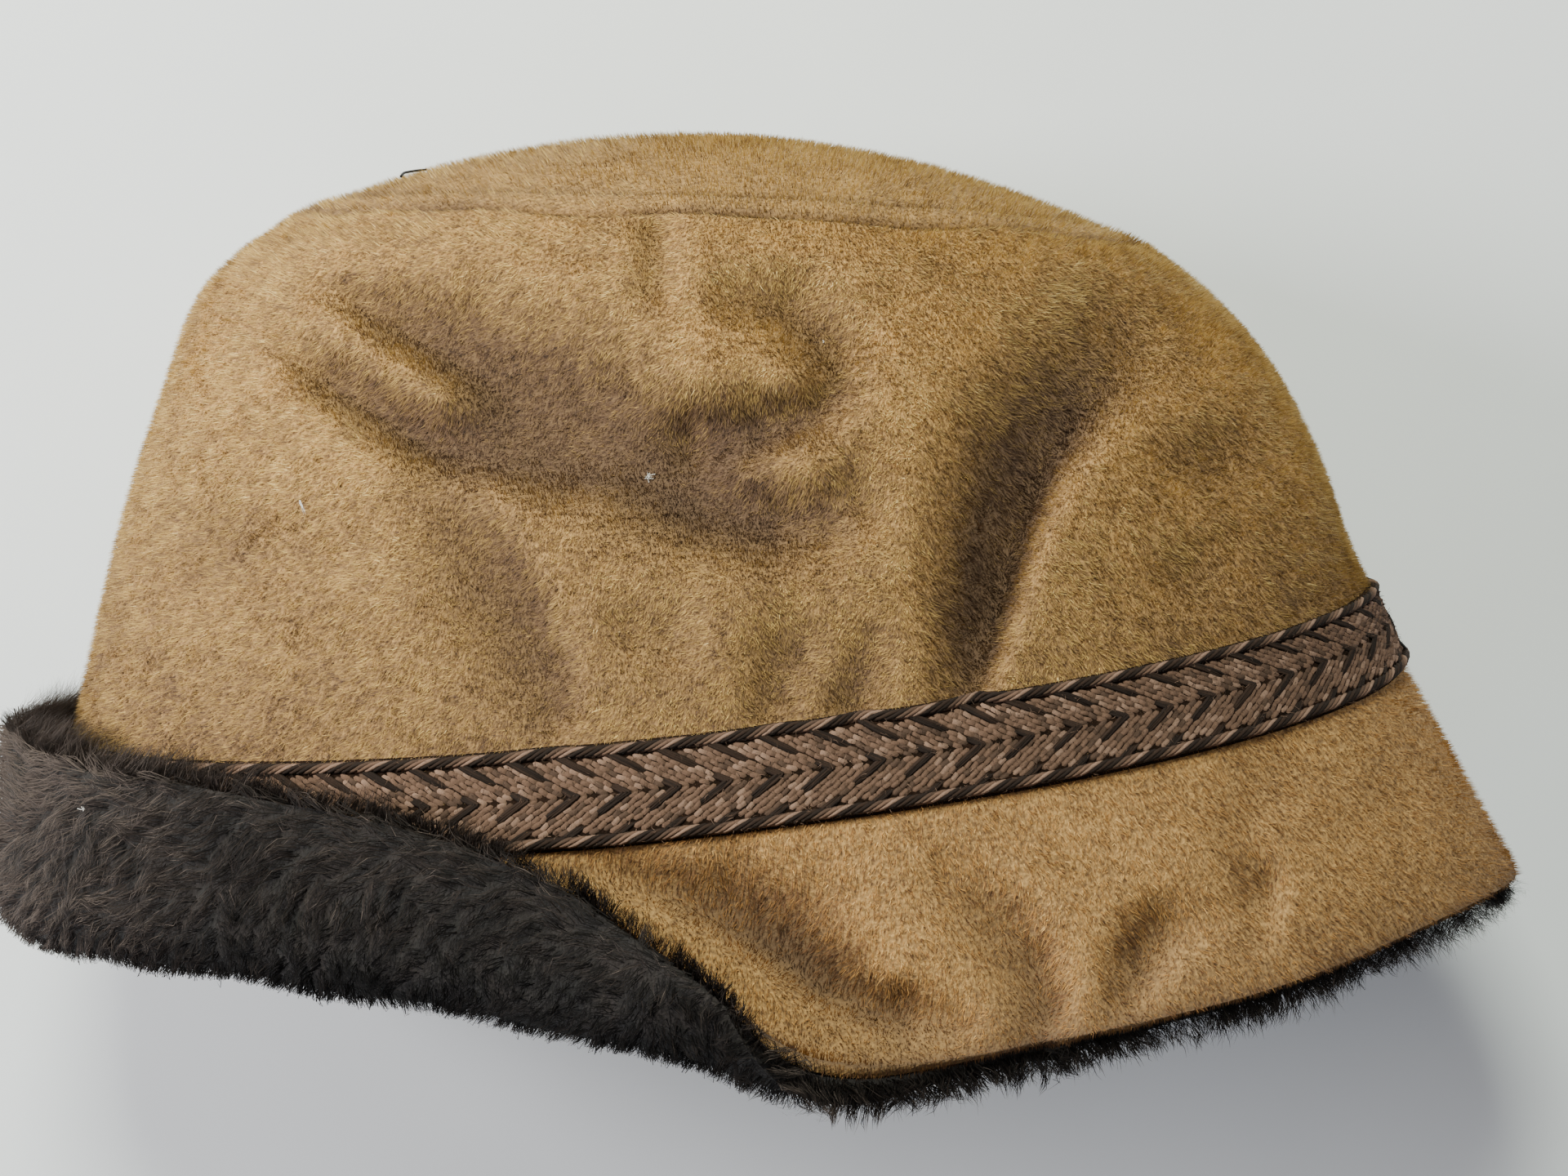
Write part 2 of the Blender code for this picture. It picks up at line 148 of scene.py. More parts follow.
# Creases and dents of the upper side, each a path as seen from above: how wide the dent is on the left and on
# the right of the way along it, and how deep it is.
Crease = namedtuple("Crease", "name x y left right depth")
CREASES = (
    Crease("long dent", -81, 58, 3.5, 3.5, 1.5),
    Crease("long dent", -74, 54, 6, 3.5, 4.5),
    Crease("long dent", -65, 48, 10.5, 4, 7),
    Crease("long dent", -55, 43, 14, 5, 8.5),
    Crease("long dent", -44, 37, 15.5, 8.5, 9.5),
    Crease("long dent", -32, 32, 15.5, 12.5, 10),
    Crease("long dent", -20, 25, 11.5, 12, 10),
    Crease("long dent", -9, 18, 8, 10, 9),
    Crease("long dent", 2, 14, 7, 8.5, 7.5),
    Crease("long dent", 10, 13, 6, 7, 5),
    Crease("long dent", 16, 15, 6, 6.5, 2.5),
    Crease("second head", -88, 48, 4.5, 4, 1.5),
    Crease("second head", -79, 40, 6, 4.5, 6),
    Crease("second head", -70, 34, 6, 4.5, 7.5),
    Crease("second head", -60, 28, 6.5, 4.5, 8),
    Crease("second head", -48, 25, 7.5, 5, 7),
    Crease("second head", -36, 21, 7.5, 5, 3),
    Crease("hook", -4, 54, 6, 4.5, 2.5),
    Crease("hook", 5, 51, 8, 5, 5),
    Crease("hook", 12, 45, 7.5, 5.5, 5),
    Crease("hook", 14, 38, 4.5, 5, 4),
    Crease("hook", 9, 32, 4.5, 5.5, 6),
    Crease("hook", -1, 29, 5, 7.5, 8),
    Crease("hook", -10, 28, 5, 7.5, 6),
    Crease("hook end", 14, 38, 7.5, 6, 1),
    Crease("hook end", 18, 28, 7.5, 7, 1.5),
    Crease("hook end", 16, 19, 6.5, 6.5, 1.5),
    Crease("notch under the tip", -19, 66, 3.5, 4, 2.5),
    Crease("notch under the tip", -18, 56, 3.5, 4.5, 2),
    Crease("shallow under the tip", -42, 63, 3, 3, 1),
    Crease("shallow under the tip", -29, 62, 3, 3, 1),
    Crease("back hollow", -109, 11, 10, 10, 1.5),
    Crease("back hollow", -98, 9, 9, 9, 3),
    Crease("back hollow", -87, 10, 10, 10, 1),
    Crease("back dent", -56, 19, 6, 9, 2.5),
    Crease("back dent", -46, 7, 4.5, 12, 5),
    Crease("back dent", -40, -1, 3.5, 12, 5.5),
    Crease("back dent", -36, -10, 3, 11, 5),
    Crease("back dent", -34, -18, 2.5, 8, 3.5),
    Crease("dimple", -20, -5, 6, 6, 2),
    Crease("dimple", -16, -6, 6, 6, 2.5),
    Crease("dimple over the braid", 8, -1, 6.5, 6.5, 1),
    Crease("dimple over the braid", 5, -10, 6, 7, 3),
    Crease("dimple over the braid", 3, -17, 4.5, 5.5, 2.5),
    Crease("second dimple over the braid", 19, -10, 4, 6, 2),
    Crease("second dimple over the braid", 17, -17, 4, 6, 3),
    Crease("front dent", 74, 51, 12, 13, 1.5),
    Crease("front dent", 65, 43, 10, 15, 5),
    Crease("front dent", 57, 34, 6.5, 15, 7.5),
    Crease("front dent", 51, 24, 4.5, 14.5, 8.5),
    Crease("front dent", 47, 13, 3, 13, 9),
    Crease("front dent", 44, 3, 2.5, 11, 9),
    Crease("front dent", 41, -6, 2.5, 9, 7.5),
    Crease("front dent", 38, -14, 3, 7.5, 4),
    Crease("small front dent", 77, 24, 6.5, 7.5, 2),
    Crease("small front dent", 83, 26, 6.5, 7, 3),
    Crease("small front dent", 91, 28, 7, 7, 1.5),
    Crease("second small front dent", 76, 4, 5.5, 6.5, 2),
    Crease("second small front dent", 81, 8, 5.5, 6.5, 1),
    Crease("dent over the front braid", 99, -1, 4, 6, 1),
    Crease("dent over the front braid", 113, 6, 4, 6.5, 1.5),
    Crease("brim dent", -29, -46, 3.5, 3, 1),
    Crease("brim dent", -18, -50, 6, 2.5, 4),
    Crease("brim dent", -7, -55, 10, 2.5, 6.5),
    Crease("brim dent", 3, -61, 11, 2.5, 7.5),
    Crease("brim dent", 11, -67, 8.5, 2.5, 7),
    Crease("brim dent", 20, -70.5, 5.5, 3, 5),
    Crease("brim dent", 33, -72, 4, 3, 2),
    Crease("brim crease", 34, -49, 5.5, 7, 1.5),
    Crease("brim crease", 43, -56, 4.5, 8.5, 3.5),
    Crease("brim crease", 48, -62, 3.5, 8.5, 4.5),
    Crease("brim crease", 50, -69, 3, 7, 4),
    Crease("brim crease", 48, -75, 3, 5.5, 2),
    Crease("brim hollow", 76, -57, 5, 5.5, 1.5),
    Crease("brim hollow", 69, -58, 5, 5.5, 4),
    Crease("brim hollow", 65, -63, 4.5, 5, 4),
    Crease("brim hollow", 63, -68, 4, 4, 2),
    Crease("second brim hollow", 84, -43, 4, 5.5, 1),
    Crease("second brim hollow", 88, -51, 3, 6, 3),
    Crease("second brim hollow", 87, -58, 3, 5, 1.5),
    Crease("third brim hollow", 91, -31, 6, 7.5, 1.5),
    Crease("third brim hollow", 85, -36, 6, 7.5, 1),
    Crease("brim tuck", 25, -68, 2, 3, 1),
    Crease("brim tuck", 25, -74, 2, 3, 1),
)

# Where the pile of the turned-up brim parts: its strands are shorter there, and painted shade darkens them.
PARTINGS = (
    Crease("long parting", -100, -55, 3, 4, 0.5),
    Crease("long parting", -82, -58, 4, 5, 1.6),
    Crease("long parting", -61, -60, 4, 5, 1.6),
    Crease("long parting", -39, -63, 4, 6, 2.0),
    Crease("long parting", -20, -68, 3, 5, 1.4),
    Crease("short parting", -58, -49, 2, 4, 0.8),
    Crease("short parting", -44, -54, 2, 4, 1.2),
)

# Strokes of nap: their length, shorter round the edge of the brim, how much it varies, half their width, how
# deep they are rooted, how many degrees they lift off the cloth, and how many radians they lean to one side.
NAP_LENGTH = 1.6
EDGE_NAP_LENGTH = 0.9
NAP_VARIES = (0.75, 1.25)
NAP_HALF_WIDTH = 0.11
NAP_ROOT = 0.15
NAP_LIFT = (40, 66)
NAP_LEAN = 0.35

# Strands of the fur: how many gather in a lock and how far its tip pulls them in, and their length, half
# width and lift. At the edge of the brim they are shorter and finer, and longer again at the back of the hat.
STRANDS_IN_LOCK = 18
LOCK_PULL = 0.65
FUR_LENGTH = (3.8, 6.0)
FUR_HALF_WIDTH = (0.065, 0.105)
FUR_LIFT = 36
EDGE_LENGTH = (2.6, 5.0)
EDGE_BACK_LENGTH = 3.5
EDGE_HALF_WIDTH = (0.05, 0.085)

# How high strokes and strands stay over the table.
NAP_CLEARANCE = 0.05
FUR_CLEARANCE = 0.3

# How far chance moves each stroke or strand, as the spread of what is drawn for it.
NAP_CHANCE = SimpleNamespace(sweep=0.35, lift=0.12, fray=0.35, fleck=0.27, facing=0.26)
FUR_CHANCE = SimpleNamespace(lift=8, bend=0.45, tone=0.3, facing=0.25)
EDGE_CHANCE = SimpleNamespace(lean=0.3, bend=0.5, tone=0.35, facing=0.3)

# What its place adds to the tone of a stroke or strand, which runs from -1, the darkest, to 1, the palest.
# For the nap: painted light towards the front of the hat and on its steep sides, and how much its painted
# shade darkens it.
NAP_ADDS = SimpleNamespace(base=0.34, front=0.14, painted_light_steep=0.3, painted_shade=-0.7)
# For the fur: painted shade in its partings, and painted light at the far left and along the braid on the
# back half.
FUR_ADDS = SimpleNamespace(base=-0.35, parting=-0.42, painted_light_far_left=1.1, painted_light_by_braid=0.4)
# For the edge of the fur: painted light at the back of the hat.
EDGE_ADDS = SimpleNamespace(base=-0.25, turned_up=0.35, at_back=0.9)

# Painted shade of the nap in the groove and along the line of the tip seam, on the tip, above the braid and
# across the brim, how strongly the ribs of that seam show, and the sizes of the groove, the line and the
# ribs.
SHADES = SimpleNamespace(groove=0.62, line=0.5, ribs=0.26, tip=0.1, foot=0.4, brim=(0.1, 0.85))
GROOVE_WIDTH = 1.2
LINE_WIDTH = 1.0
LINE_PAST_SEAM = 0.4
RIB_PITCH = 2.1
RIB_SLANT = 1.3

# The pile's backing: how much of the pile it takes up, and its low waves round the hat and across the brim.
BACKING_SHARE = 0.62
BACKING_WAVE = 0.6
LOCKS_ROUND = 20
LOCKS_ACROSS = 7

# Patterns of soft noise: how large the patches are, how strongly they show, and a mark that tells them apart.
Drift = namedtuple("Drift", "size strength mark")
NAP_SWEEP = (Drift(9.0, 0.45, 0), Drift(1.8, 0.7, 1))
NAP_TUFTS = (Drift(1.3, 0.5, 2),)
NAP_TONE = (Drift(16.0, 0.12, 3), Drift(5.0, 0.16, 6))
NAP_FLECKS = (Drift(1.4, 0.32, 4),)
NAP_FRAY = (Drift(2.6, 1.1, 5),)
SEAM_UNEVEN = (Drift(14.0, 0.4, 61),)
FUR_FLOW = (Drift(16.0, 0.9, 0), Drift(5.5, 1.2, 1))
FUR_RUFFLE = (Drift(3.0, 14, 2),)
FUR_TONE = (Drift(4.0, 0.25, 3),)
EDGE_FLOW = (Drift(4.0, 0.9, 0), Drift(1.6, 0.5, 1))
EDGE_TUFTS = (Drift(5.0, 0.5, 2),)
EDGE_TONE = (Drift(12.0, 0.3, 3),)

# The braid: chevrons of light and dark arms between two twisted cords. A share is of one repeat along it.
BRAID_WIDTH = 17.0
BRAID_REPEATS = 70
ARM_SLANT = math.radians(30)
ARM_REACH = 5.6
LIGHT_SHARE = 0.8
STITCH_ROWS = 4
STITCHES_ALONG = 7
STITCH_TILT = 0.13
STITCH_FOOT = 0.85
STITCH_PLUMPNESS = 0.65
STITCH_LENGTH_SHARE = 0.74
STITCH_WIDTH_SHARE = 0.62
DARK_STRANDS = 3
DARK_KNOTS = 8
DARK_HEIGHT = 1.35
DARK_DIP = 0.75
DARK_RADIUS = 0.34
CORD_PLACE = 7.1
CORD_HEIGHT = 1.25
CORD_RADIUS = 0.62
CORD_YARN_RADIUS = 0.4
CORD_STEPS = 8
FUZZ_COUNT = 6000
FUZZ_REACH = (0.5, 1.4)

# The yarns of one cord: the first three are the light ones, the others the dark ones.
CORD_YARNS = (0, 1, 2, 3, 4, 3)

# Threads left in the seams, each as its knots seen from above.
Knot = namedtuple("Knot", "thread x y")
THREADS = (
    Knot("thread_at_the_tip_seam", -66.8, 79.0),
    Knot("thread_at_the_tip_seam", -66.5, 79.9),
    Knot("thread_at_the_tip_seam", -62.7, 81.2),
    Knot("thread_at_the_braid", 122.6, -10.3),
    Knot("thread_at_the_braid", 124.2, -12.0),
    Knot("thread_at_the_braid", 124.9, -13.4),
)
THREAD_RADIUS = 0.26
THREAD_KNOTS = 13

# Specks of lint: where each lies as seen from above, if it hangs in the fur, and its hairs, how far they
# spread and which way they are drawn out.
Speck = namedtuple("Speck", "name x y in_fur hairs spread drawn_out")
LINT = (
    Speck("fluff", -17.5, 20.0, False, 12, 0.5, (0, 0, 0)),
    Speck("short hair", -78.6, 14.0, False, 4, 0.2, (0.7, -1.2, 0)),
    Speck("fleck", 13.6, 45.2, False, 4, 0.2, (0, 0, 0)),
    Speck("fleck in the fur", -114.0, -38.9, True, 4, 0.2, (0, 0, 0)),
    Speck("fleck in the fur", -99.5, -62.6, True, 4, 0.2, (0, 0, 0)),
)
LINT_LIFT = 0.9
LINT_LIFT_IN_FUR = 3.6
LINT_HALF_WIDTH = 0.065

# The camera and the lamps, in metres.
CAMERA_PLACE = (0.0070, -0.0001, 0.674)
CAMERA_LENS = 72.58
CAMERA_SENSOR = 36
HAT_MIDDLE = (0, 0, 0.05)
ROOM_COLOUR = "#f6ebdc"
ROOM_STRENGTH = 0.25
Lamp = namedtuple("Lamp", "name place size power colour")
LAMPS = (
    Lamp("window", (-0.85, 0.15, 0.55), 0.35, 16.0, "#fbf8f6"),
    Lamp("upper window", (-0.14, 0.6, 0.88), 0.3, 17.0, "#f5fbea"),
    Lamp("far wall", (0.8, 0.3, 0.35), 0.5, 2.2, "#e2eafc"),
    Lamp("lower window", (-0.6, -0.6, 0.5), 0.5, 2.0, "#c8dcff"),
)
TABLE_REACH = 2.0
TABLE_DROP = 0.0002

# Inputs of the mix node, by number, because their names repeat.
FACTOR, NUMBER_A, NUMBER_B, COLOUR_A, COLOUR_B = 0, 2, 3, 6, 7


def smooth(at, knots, values):
    """Values between the rows of a table, on a curve that keeps each row and never overshoots."""
    knots, values = np.asarray(knots, float), np.asarray(values, float)
    span = np.diff(knots)
    slope = np.diff(values) / span
    tangent = np.concatenate([slope[:1], np.zeros(len(slope) - 1), slope[-1:]])
    product = slope[:-1] * slope[1:]
    total = slope[:-1] + slope[1:]
    rising = product > 0
    tangent[1:-1][rising] = 2 * product[rising] / total[rising]
    index = np.clip(np.searchsorted(knots, at, side="right") - 1, 0, len(span) - 1)
    t = np.clip((at - knots[index]) / span[index], 0, 1)
    start, end = values[index], values[index + 1]
    leave, arrive = tangent[index] * span[index], tangent[index + 1] * span[index]
    return (
        start * (2 * t**3 - 3 * t**2 + 1)
        + leave * (t**3 - 2 * t**2 + t)
        + end * (3 * t**2 - 2 * t**3)
        + arrive * (t**3 - t**2)
    )


def unit(vectors):
    """Ways of any length as ways one long."""
    return vectors / np.linalg.norm(vectors, axis=-1, keepdims=True)


def between(span, share):
    """The value at a share of the way from one end of a span to the other."""
    return span[0] + (span[1] - span[0]) * share


def bell(distance, width):
    """A soft bump: one in the middle, and close to none past twice its width."""
    return np.exp(-((distance / width) ** 2))


def sag_share(up):
    """The share of a section's sag at a height: 1 at its top, 0 at its ends, and a little along the table."""
    softness = 0.02
    upper, under = (1 + UNDER_SAG_SHARE) / 2, (1 - UNDER_SAG_SHARE) / 2
    return upper * up + under * (np.sqrt(up**2 + softness) - math.sqrt(softness))


def wall_points(level, turn):
    """Places on the side of the crown, for levels from 1 to 2."""
    row = (level - TIP_SEAM_LEVEL) * (len(SECTIONS) - 1)
    columns = np.array([section[1:] for section in SECTIONS]).T
    back_x, back_y, front_x, front_y, floor_z, top_z, sag = (
        smooth(row, range(len(SECTIONS)), column) for column in columns
    )
    ahead, up = np.cos(turn), np.sin(turn)
    height = np.where(up > 0, up, np.clip(1 + up, 0, 1) ** UNDER_FLATTENING - 1)
    x = (front_x + back_x) / 2 + (front_x - back_x) / 2 * ahead
    y = (front_y + back_y) / 2 + (front_y - back_y) / 2 * ahead - sag * sag_share(up)
    z = (top_z + floor_z) / 2 + (top_z - floor_z) / 2 * height
    return np.stack([x - MIDDLE_X, y - MIDDLE_Y, z], axis=-1)


def tip_points(level, turn):
    """Places on the tip, a low dome inside the seam."""
    rim = wall_points(np.full_like(level, TIP_SEAM_LEVEL), turn)
    front, back = (wall_points(np.ones(1), np.full(1, end))[0] for end in (0, math.pi))
    middle = (front + back) / 2
    points = middle + level[..., None] * (rim - middle)
    points[..., 1] += TIP_RISE * np.clip(1 - level**2, 0, 1)
    return points


def brim_turn(turn):
    """The brim's width, its drop, the radius of its turn and its flare at an angle round the hat."""
    degrees = np.degrees(turn) % 360
    upper = degrees <= 180
    angle = np.where(upper, degrees, 360 - degrees)
    angles, *columns = np.array(BRIM_TURNS, float).T
    width, drop, radius, upper_flare, under_flare = (smooth(angle, angles, column) for column in columns)
    radius = np.where(upper, radius, np.minimum(radius, PRESSED_RADIUS))
    return width, drop, radius, np.radians(np.where(upper, upper_flare, under_flare))


def brim_run(level, width, drop, radius):
    """The way along the brim from the braid at a level, with its steps closest where the brim turns up."""
    bend = np.minimum(drop, width - LEAST_TURNED)
    arc = np.minimum(math.pi * radius, width - bend - LEAST_RISEN)
    share = np.minimum(level, EDGE_LEVEL) - BRAID_FOOT_LEVEL
    before, after = 0.42, 0.70
    along = np.where(share < before, share / before * bend, bend + (share - before) / (after - before) * arc)
    last = bend + arc + (share - after) / (1 - after) * (width - bend - arc)
    return np.where(share > after, last, along)


def brim_points(level, turn):
    """Places on the brim: straight down from the braid, round the fold, and up again outside the braid."""
    foot = np.full_like(level, BRAID_FOOT_LEVEL)
    start = wall_points(foot, turn)
    down = unit(start - wall_points(foot - 0.03, turn))
    around = wall_points(foot, turn + 0.01) - wall_points(foot, turn - 0.01)
    out = unit(np.cross(around, down))
    width, drop, radius, flare = brim_turn(turn)
    cosine, sine = np.cos(flare)[..., None], np.sin(flare)[..., None]
    down, out = cosine * down + sine * out, cosine * out - sine * down
    run = brim_run(level, width, drop, radius) + np.clip(level - EDGE_LEVEL, 0, None) * FUR_OVERHANG
    bent = np.clip((run - drop) / radius, 0, math.pi)
    risen = np.clip(run - drop - math.pi * radius, 0, None)
    lean = math.radians(CUFF_LEAN)
    along = np.minimum(run, drop) + radius * np.sin(bent) - risen * math.cos(lean)
    outward = radius * (1 - np.cos(bent)) + risen * math.sin(lean)
    return start + down * along[..., None] + out * outward[..., None]


def crease_depth(points, creases=CREASES):
    """How far down the creases press a place of the upper side."""
    place = points[..., :2] + np.array([MIDDLE_X, MIDDLE_Y])
    depth = np.zeros(place.shape[:-1])
    for name in dict.fromkeys(crease.name for crease in creases):
        path = [crease for crease in creases if crease.name == name]
        deepest = np.zeros_like(depth)
        for here, onward in zip(path, path[1:]):
            way = np.array([onward.x - here.x, onward.y - here.y])
            away = place - np.array([here.x, here.y])
            share = np.clip((away @ way) / (way @ way), 0, 1)
            away = away - share[..., None] * way
            distance = np.linalg.norm(away, axis=-1)
            crossed = way[0] * away[..., 1] - way[1] * away[..., 0]
            beside = crossed / (distance * np.linalg.norm(way) + 1e-6)
            left, right, fall = (between(ends, share) for ends in zip(here[3:], onward[3:]))
            reach = (left + right) / 2 + (left - right) / 2 * beside
            deepest = np.maximum(deepest, fall * np.exp(-((distance / reach) ** CREASE_STEEPNESS)))
        depth += deepest
    return depth


def painted_crease_shade(points):
    """Painted shade in the creases of the upper side, from 0 to 1 by how deep they are, a little stronger
    towards the front.
    """
    slight, full, upper_side = 0.3, 7.5, 50
    front = np.clip((points[..., 0] - 20) / 25, -1, 1)
    painted_shade = np.clip((crease_depth(points) - slight) / full, 0, 1)
    return (0.92 + 0.08 * front) * painted_shade * (points[..., 2] > upper_side)


def hat_points(level, turn):
    """Places on the outer face of the cloth."""
    on_tip = tip_points(np.minimum(level, TIP_SEAM_LEVEL), turn)
    on_wall = wall_points(np.clip(level, TIP_SEAM_LEVEL, BRAID_FOOT_LEVEL), turn)
    on_brim = brim_points(np.maximum(level, BRAID_FOOT_LEVEL), turn)
    points = np.where((level < BRAID_FOOT_LEVEL)[..., None], on_wall, on_brim)
    points = np.where((level < TIP_SEAM_LEVEL)[..., None], on_tip, points)
    share = np.clip(np.sin(turn) / CREASE_FADE, 0, 1)
    points[..., 2] -= crease_depth(points) * share**2 * (3 - 2 * share)
    beside_seam = bell(level - TIP_SEAM_LEVEL, 0.07)
    points[..., 1] += SEAM_WAVE * beside_seam * (np.sin(9 * turn + 0.4) + 0.6 * np.sin(16 * turn))
    return points


def square_out(level, turn, back, ahead):
    """The way out of the cloth, square to the stretch of it that lies between two levels about a place."""
    around = hat_points(level, turn + TURN_STEP) - hat_points(level, turn - TURN_STEP)
    onward = hat_points(level + ahead, turn) - hat_points(np.maximum(level - back, FIRST_LEVEL), turn)
    return unit(np.cross(around, onward))


def hat_normals(level, turn):
    """The way out of the cloth for a height of one, mitred at the corner of the tip seam."""
    seam = np.full_like(level, TIP_SEAM_LEVEL)
    tip_side, wall_side = square_out(seam, turn, SEAM_STEP, 0), square_out(seam, turn, 0, SEAM_STEP)
    mitre = (tip_side + wall_side) / (1 + np.sum(tip_side * wall_side, axis=-1, keepdims=True))
    at_seam = (np.abs(level - TIP_SEAM_LEVEL) < MITRE_REACH)[..., None]
    return np.where(at_seam, mitre, square_out(level, turn, LEVEL_STEP, LEVEL_STEP))


def resting_height(turn, down, up):
    """The least height over the table for a face of the brim, where it is turned down and where it is up."""
    width, drop, *_ = brim_turn(turn)
    return down + (up - down) * np.clip((width - drop) / 8, 0, 1)


# A layer of the hat as a grid of places, with the way out of the cloth and the way towards the brim's edge.
Layer = namedtuple("Layer", "points out onward level turn")

# Places picked on a layer: the row and the column of each one's cell, and the shares of the way across it.
Spots = namedtuple("Spots", "row column down across")


def stations(columns):
    """Angles round the hat, closer on its two long sides than at its ends, and closest on the dented one."""
    even = np.arange(columns) / columns * 2 * math.pi
    return even + SIDE_CROWDING * np.sin(2 * even) + UPPER_CROWDING * np.cos(even)


def layer(levels, height, lowest=0.0, columns=COLUMNS):
    """The grid of one layer at some heights over the cloth's outer face, and nowhere below lowest."""
    level, turn = np.meshgrid(levels, stations(columns), indexing="ij")
    if callable(height):
        height = height(level, turn)
    else:
        height = np.broadcast_to(np.asarray(height, float), level.T.shape).T
    out = hat_normals(level, turn)
    points = hat_points(level, turn) + out * height[..., None]
    points[..., 2] = np.maximum(points[..., 2], lowest)
    before = np.maximum(level - ONWARD_STEP, FIRST_LEVEL)
    onward = unit(hat_points(level + ONWARD_STEP, turn) - hat_points(before, turn))
    return Layer(points, unit(out), onward, level, turn)


def rim_layer(front, back, side):
    """The narrow face at the edge of the brim between two layers, which looks the way the brim runs. Its way
    out is turned round where side is -1, as it is for the fur on the underside of the cloth."""
    share = np.linspace(0, 1, 5)[:, None, None]
    points = front.points[-1] * (1 - share) + back.points[-1] * share
    rows = np.ones_like(share)
    level = np.full(points.shape[:2], EDGE_LEVEL)
    turn = np.broadcast_to(front.turn[-1], level.shape)
    return Layer(points, side * front.onward[-1] * rows, -front.out[-1] * rows, level, turn)


def scatter(sheet, count, dice, wanted=None):
    """Spots spread evenly over a layer by its area, times a wanted share for each of its cells."""
    points = sheet.points
    following = np.roll(points, -1, axis=1)
    area = np.linalg.norm(np.cross(points[1:] - points[:-1], following[:-1] - points[:-1]), axis=-1)
    if wanted is not None:
        area = area * wanted
    reach = np.cumsum(area.ravel())
    picks = (np.arange(count) + dice.random(count)) / count * reach[-1]
    cell = np.minimum(np.searchsorted(reach, picks), area.size - 1)
    return Spots(cell // area.shape[1], cell % area.shape[1], dice.random(count), dice.random(count))


def at(grid, spots):
    """A grid's values at some spots."""
    following = (spots.column + 1) % grid.shape[1]
    shape = (-1,) + (1,) * (grid.ndim - 2)
    down, across = spots.down.reshape(shape), spots.across.reshape(shape)
    upper = grid[spots.row, spots.column] * (1 - across) + grid[spots.row, following] * across
    lower = grid[spots.row + 1, spots.column] * (1 - across) + grid[spots.row + 1, following] * across
    return upper * (1 - down) + lower * down


def roots(sheet, spots):
    """The places of some spots, with the way out of the cloth and the way towards the brim's edge at each."""
    return at(sheet.points, spots), unit(at(sheet.out, spots)), unit(at(sheet.onward, spots))


def wander(points, size, seed):
    """Soft noise from -1 to 1 over space, its patches about one size across. The large numbers only stir a
    corner's place into a chance value."""
    place = points / size + seed * 17.31
    corner = np.floor(place).astype(np.int64)
    share = place - corner
    share = share * share * (3 - 2 * share)
    total = np.zeros(points.shape[:-1])
    for step in np.ndindex(2, 2, 2):
        x, y, z = np.moveaxis(corner + np.array(step), -1, 0)
        mixed = (x * 73856093) ^ (y * 19349663) ^ (z * 83492791) ^ (seed * 2654435761)
        mixed = (mixed ^ (mixed >> 13)) * 1274126177 & 0x7FFFFFFF
        value = ((mixed ^ (mixed >> 16)) & 0xFFFF) / 0x7FFF - 1
        weight = np.prod(np.where(np.array(step) == 1, share, 1 - share), axis=-1)
        total += value * weight
    return total


def drift(points, patterns, seed=0):
    """The sum of some patterns of soft noise."""
    return sum(pattern.strength * wander(points, pattern.size, seed + pattern.mark) for pattern in patterns)


def linear(hex_colour):
    """A colour for a shader from sRGB hex."""
    channels = np.array([int(hex_colour[k : k + 2], 16) / 255 for k in (1, 3, 5)])
    straight = np.where(channels <= 0.04045, channels / 12.92, ((channels + 0.055) / 1.055) ** 2.4)
    return (*straight.tolist(), 1.0)


def add_node(material, kind, settings=None, links=None):
    """One more node of a material. A setting or a link goes to the node's input of that name or number, and a
    setting that no input has goes to the node itself."""
    tree = material.node_tree
    made = tree.nodes.new(kind)
    for key, value in (settings or {}).items():
        if isinstance(key, int) or key in made.inputs:
            made.inputs[key].default_value = value
        else:
            setattr(made, key, value)
    for key, source in (links or {}).items():
        tree.links.new(source, made.inputs[key])
    return made


def finish(name, colour, roughness, gloss=0.5):
    """A material of one colour on its shader. Wool, acrylic and dry paint all bend light by 1.5 to 1.55, and
    none of them is metallic."""
    material = bpy.data.materials.new(name)
    material.use_nodes = True
    surface = material.node_tree.nodes["Principled BSDF"]
    surface.inputs["Base Color"].default_value = linear(colour)
    surface.inputs["Roughness"].default_value = roughness
    surface.inputs["IOR"].default_value = 1.54
    surface.inputs["Specular IOR Level"].default_value = gloss
    return material


def fibre(name, colour, roughness, glow, gloss=0.5):
    """A material for fine fibres, which let a share of the light through."""
    material = finish(name, colour, roughness, gloss)
    nodes = material.node_tree.nodes
    through = add_node(material, "ShaderNodeBsdfTranslucent", {"Color": linear(colour)})
    both = add_node(
        material,
        "ShaderNodeMixShader",
        {0: glow},
        {1: nodes["Principled BSDF"].outputs[0], 2: through.outputs[0]},
    )
    material.node_tree.links.new(both.outputs[0], nodes["Material Output"].inputs["Surface"])
    return material


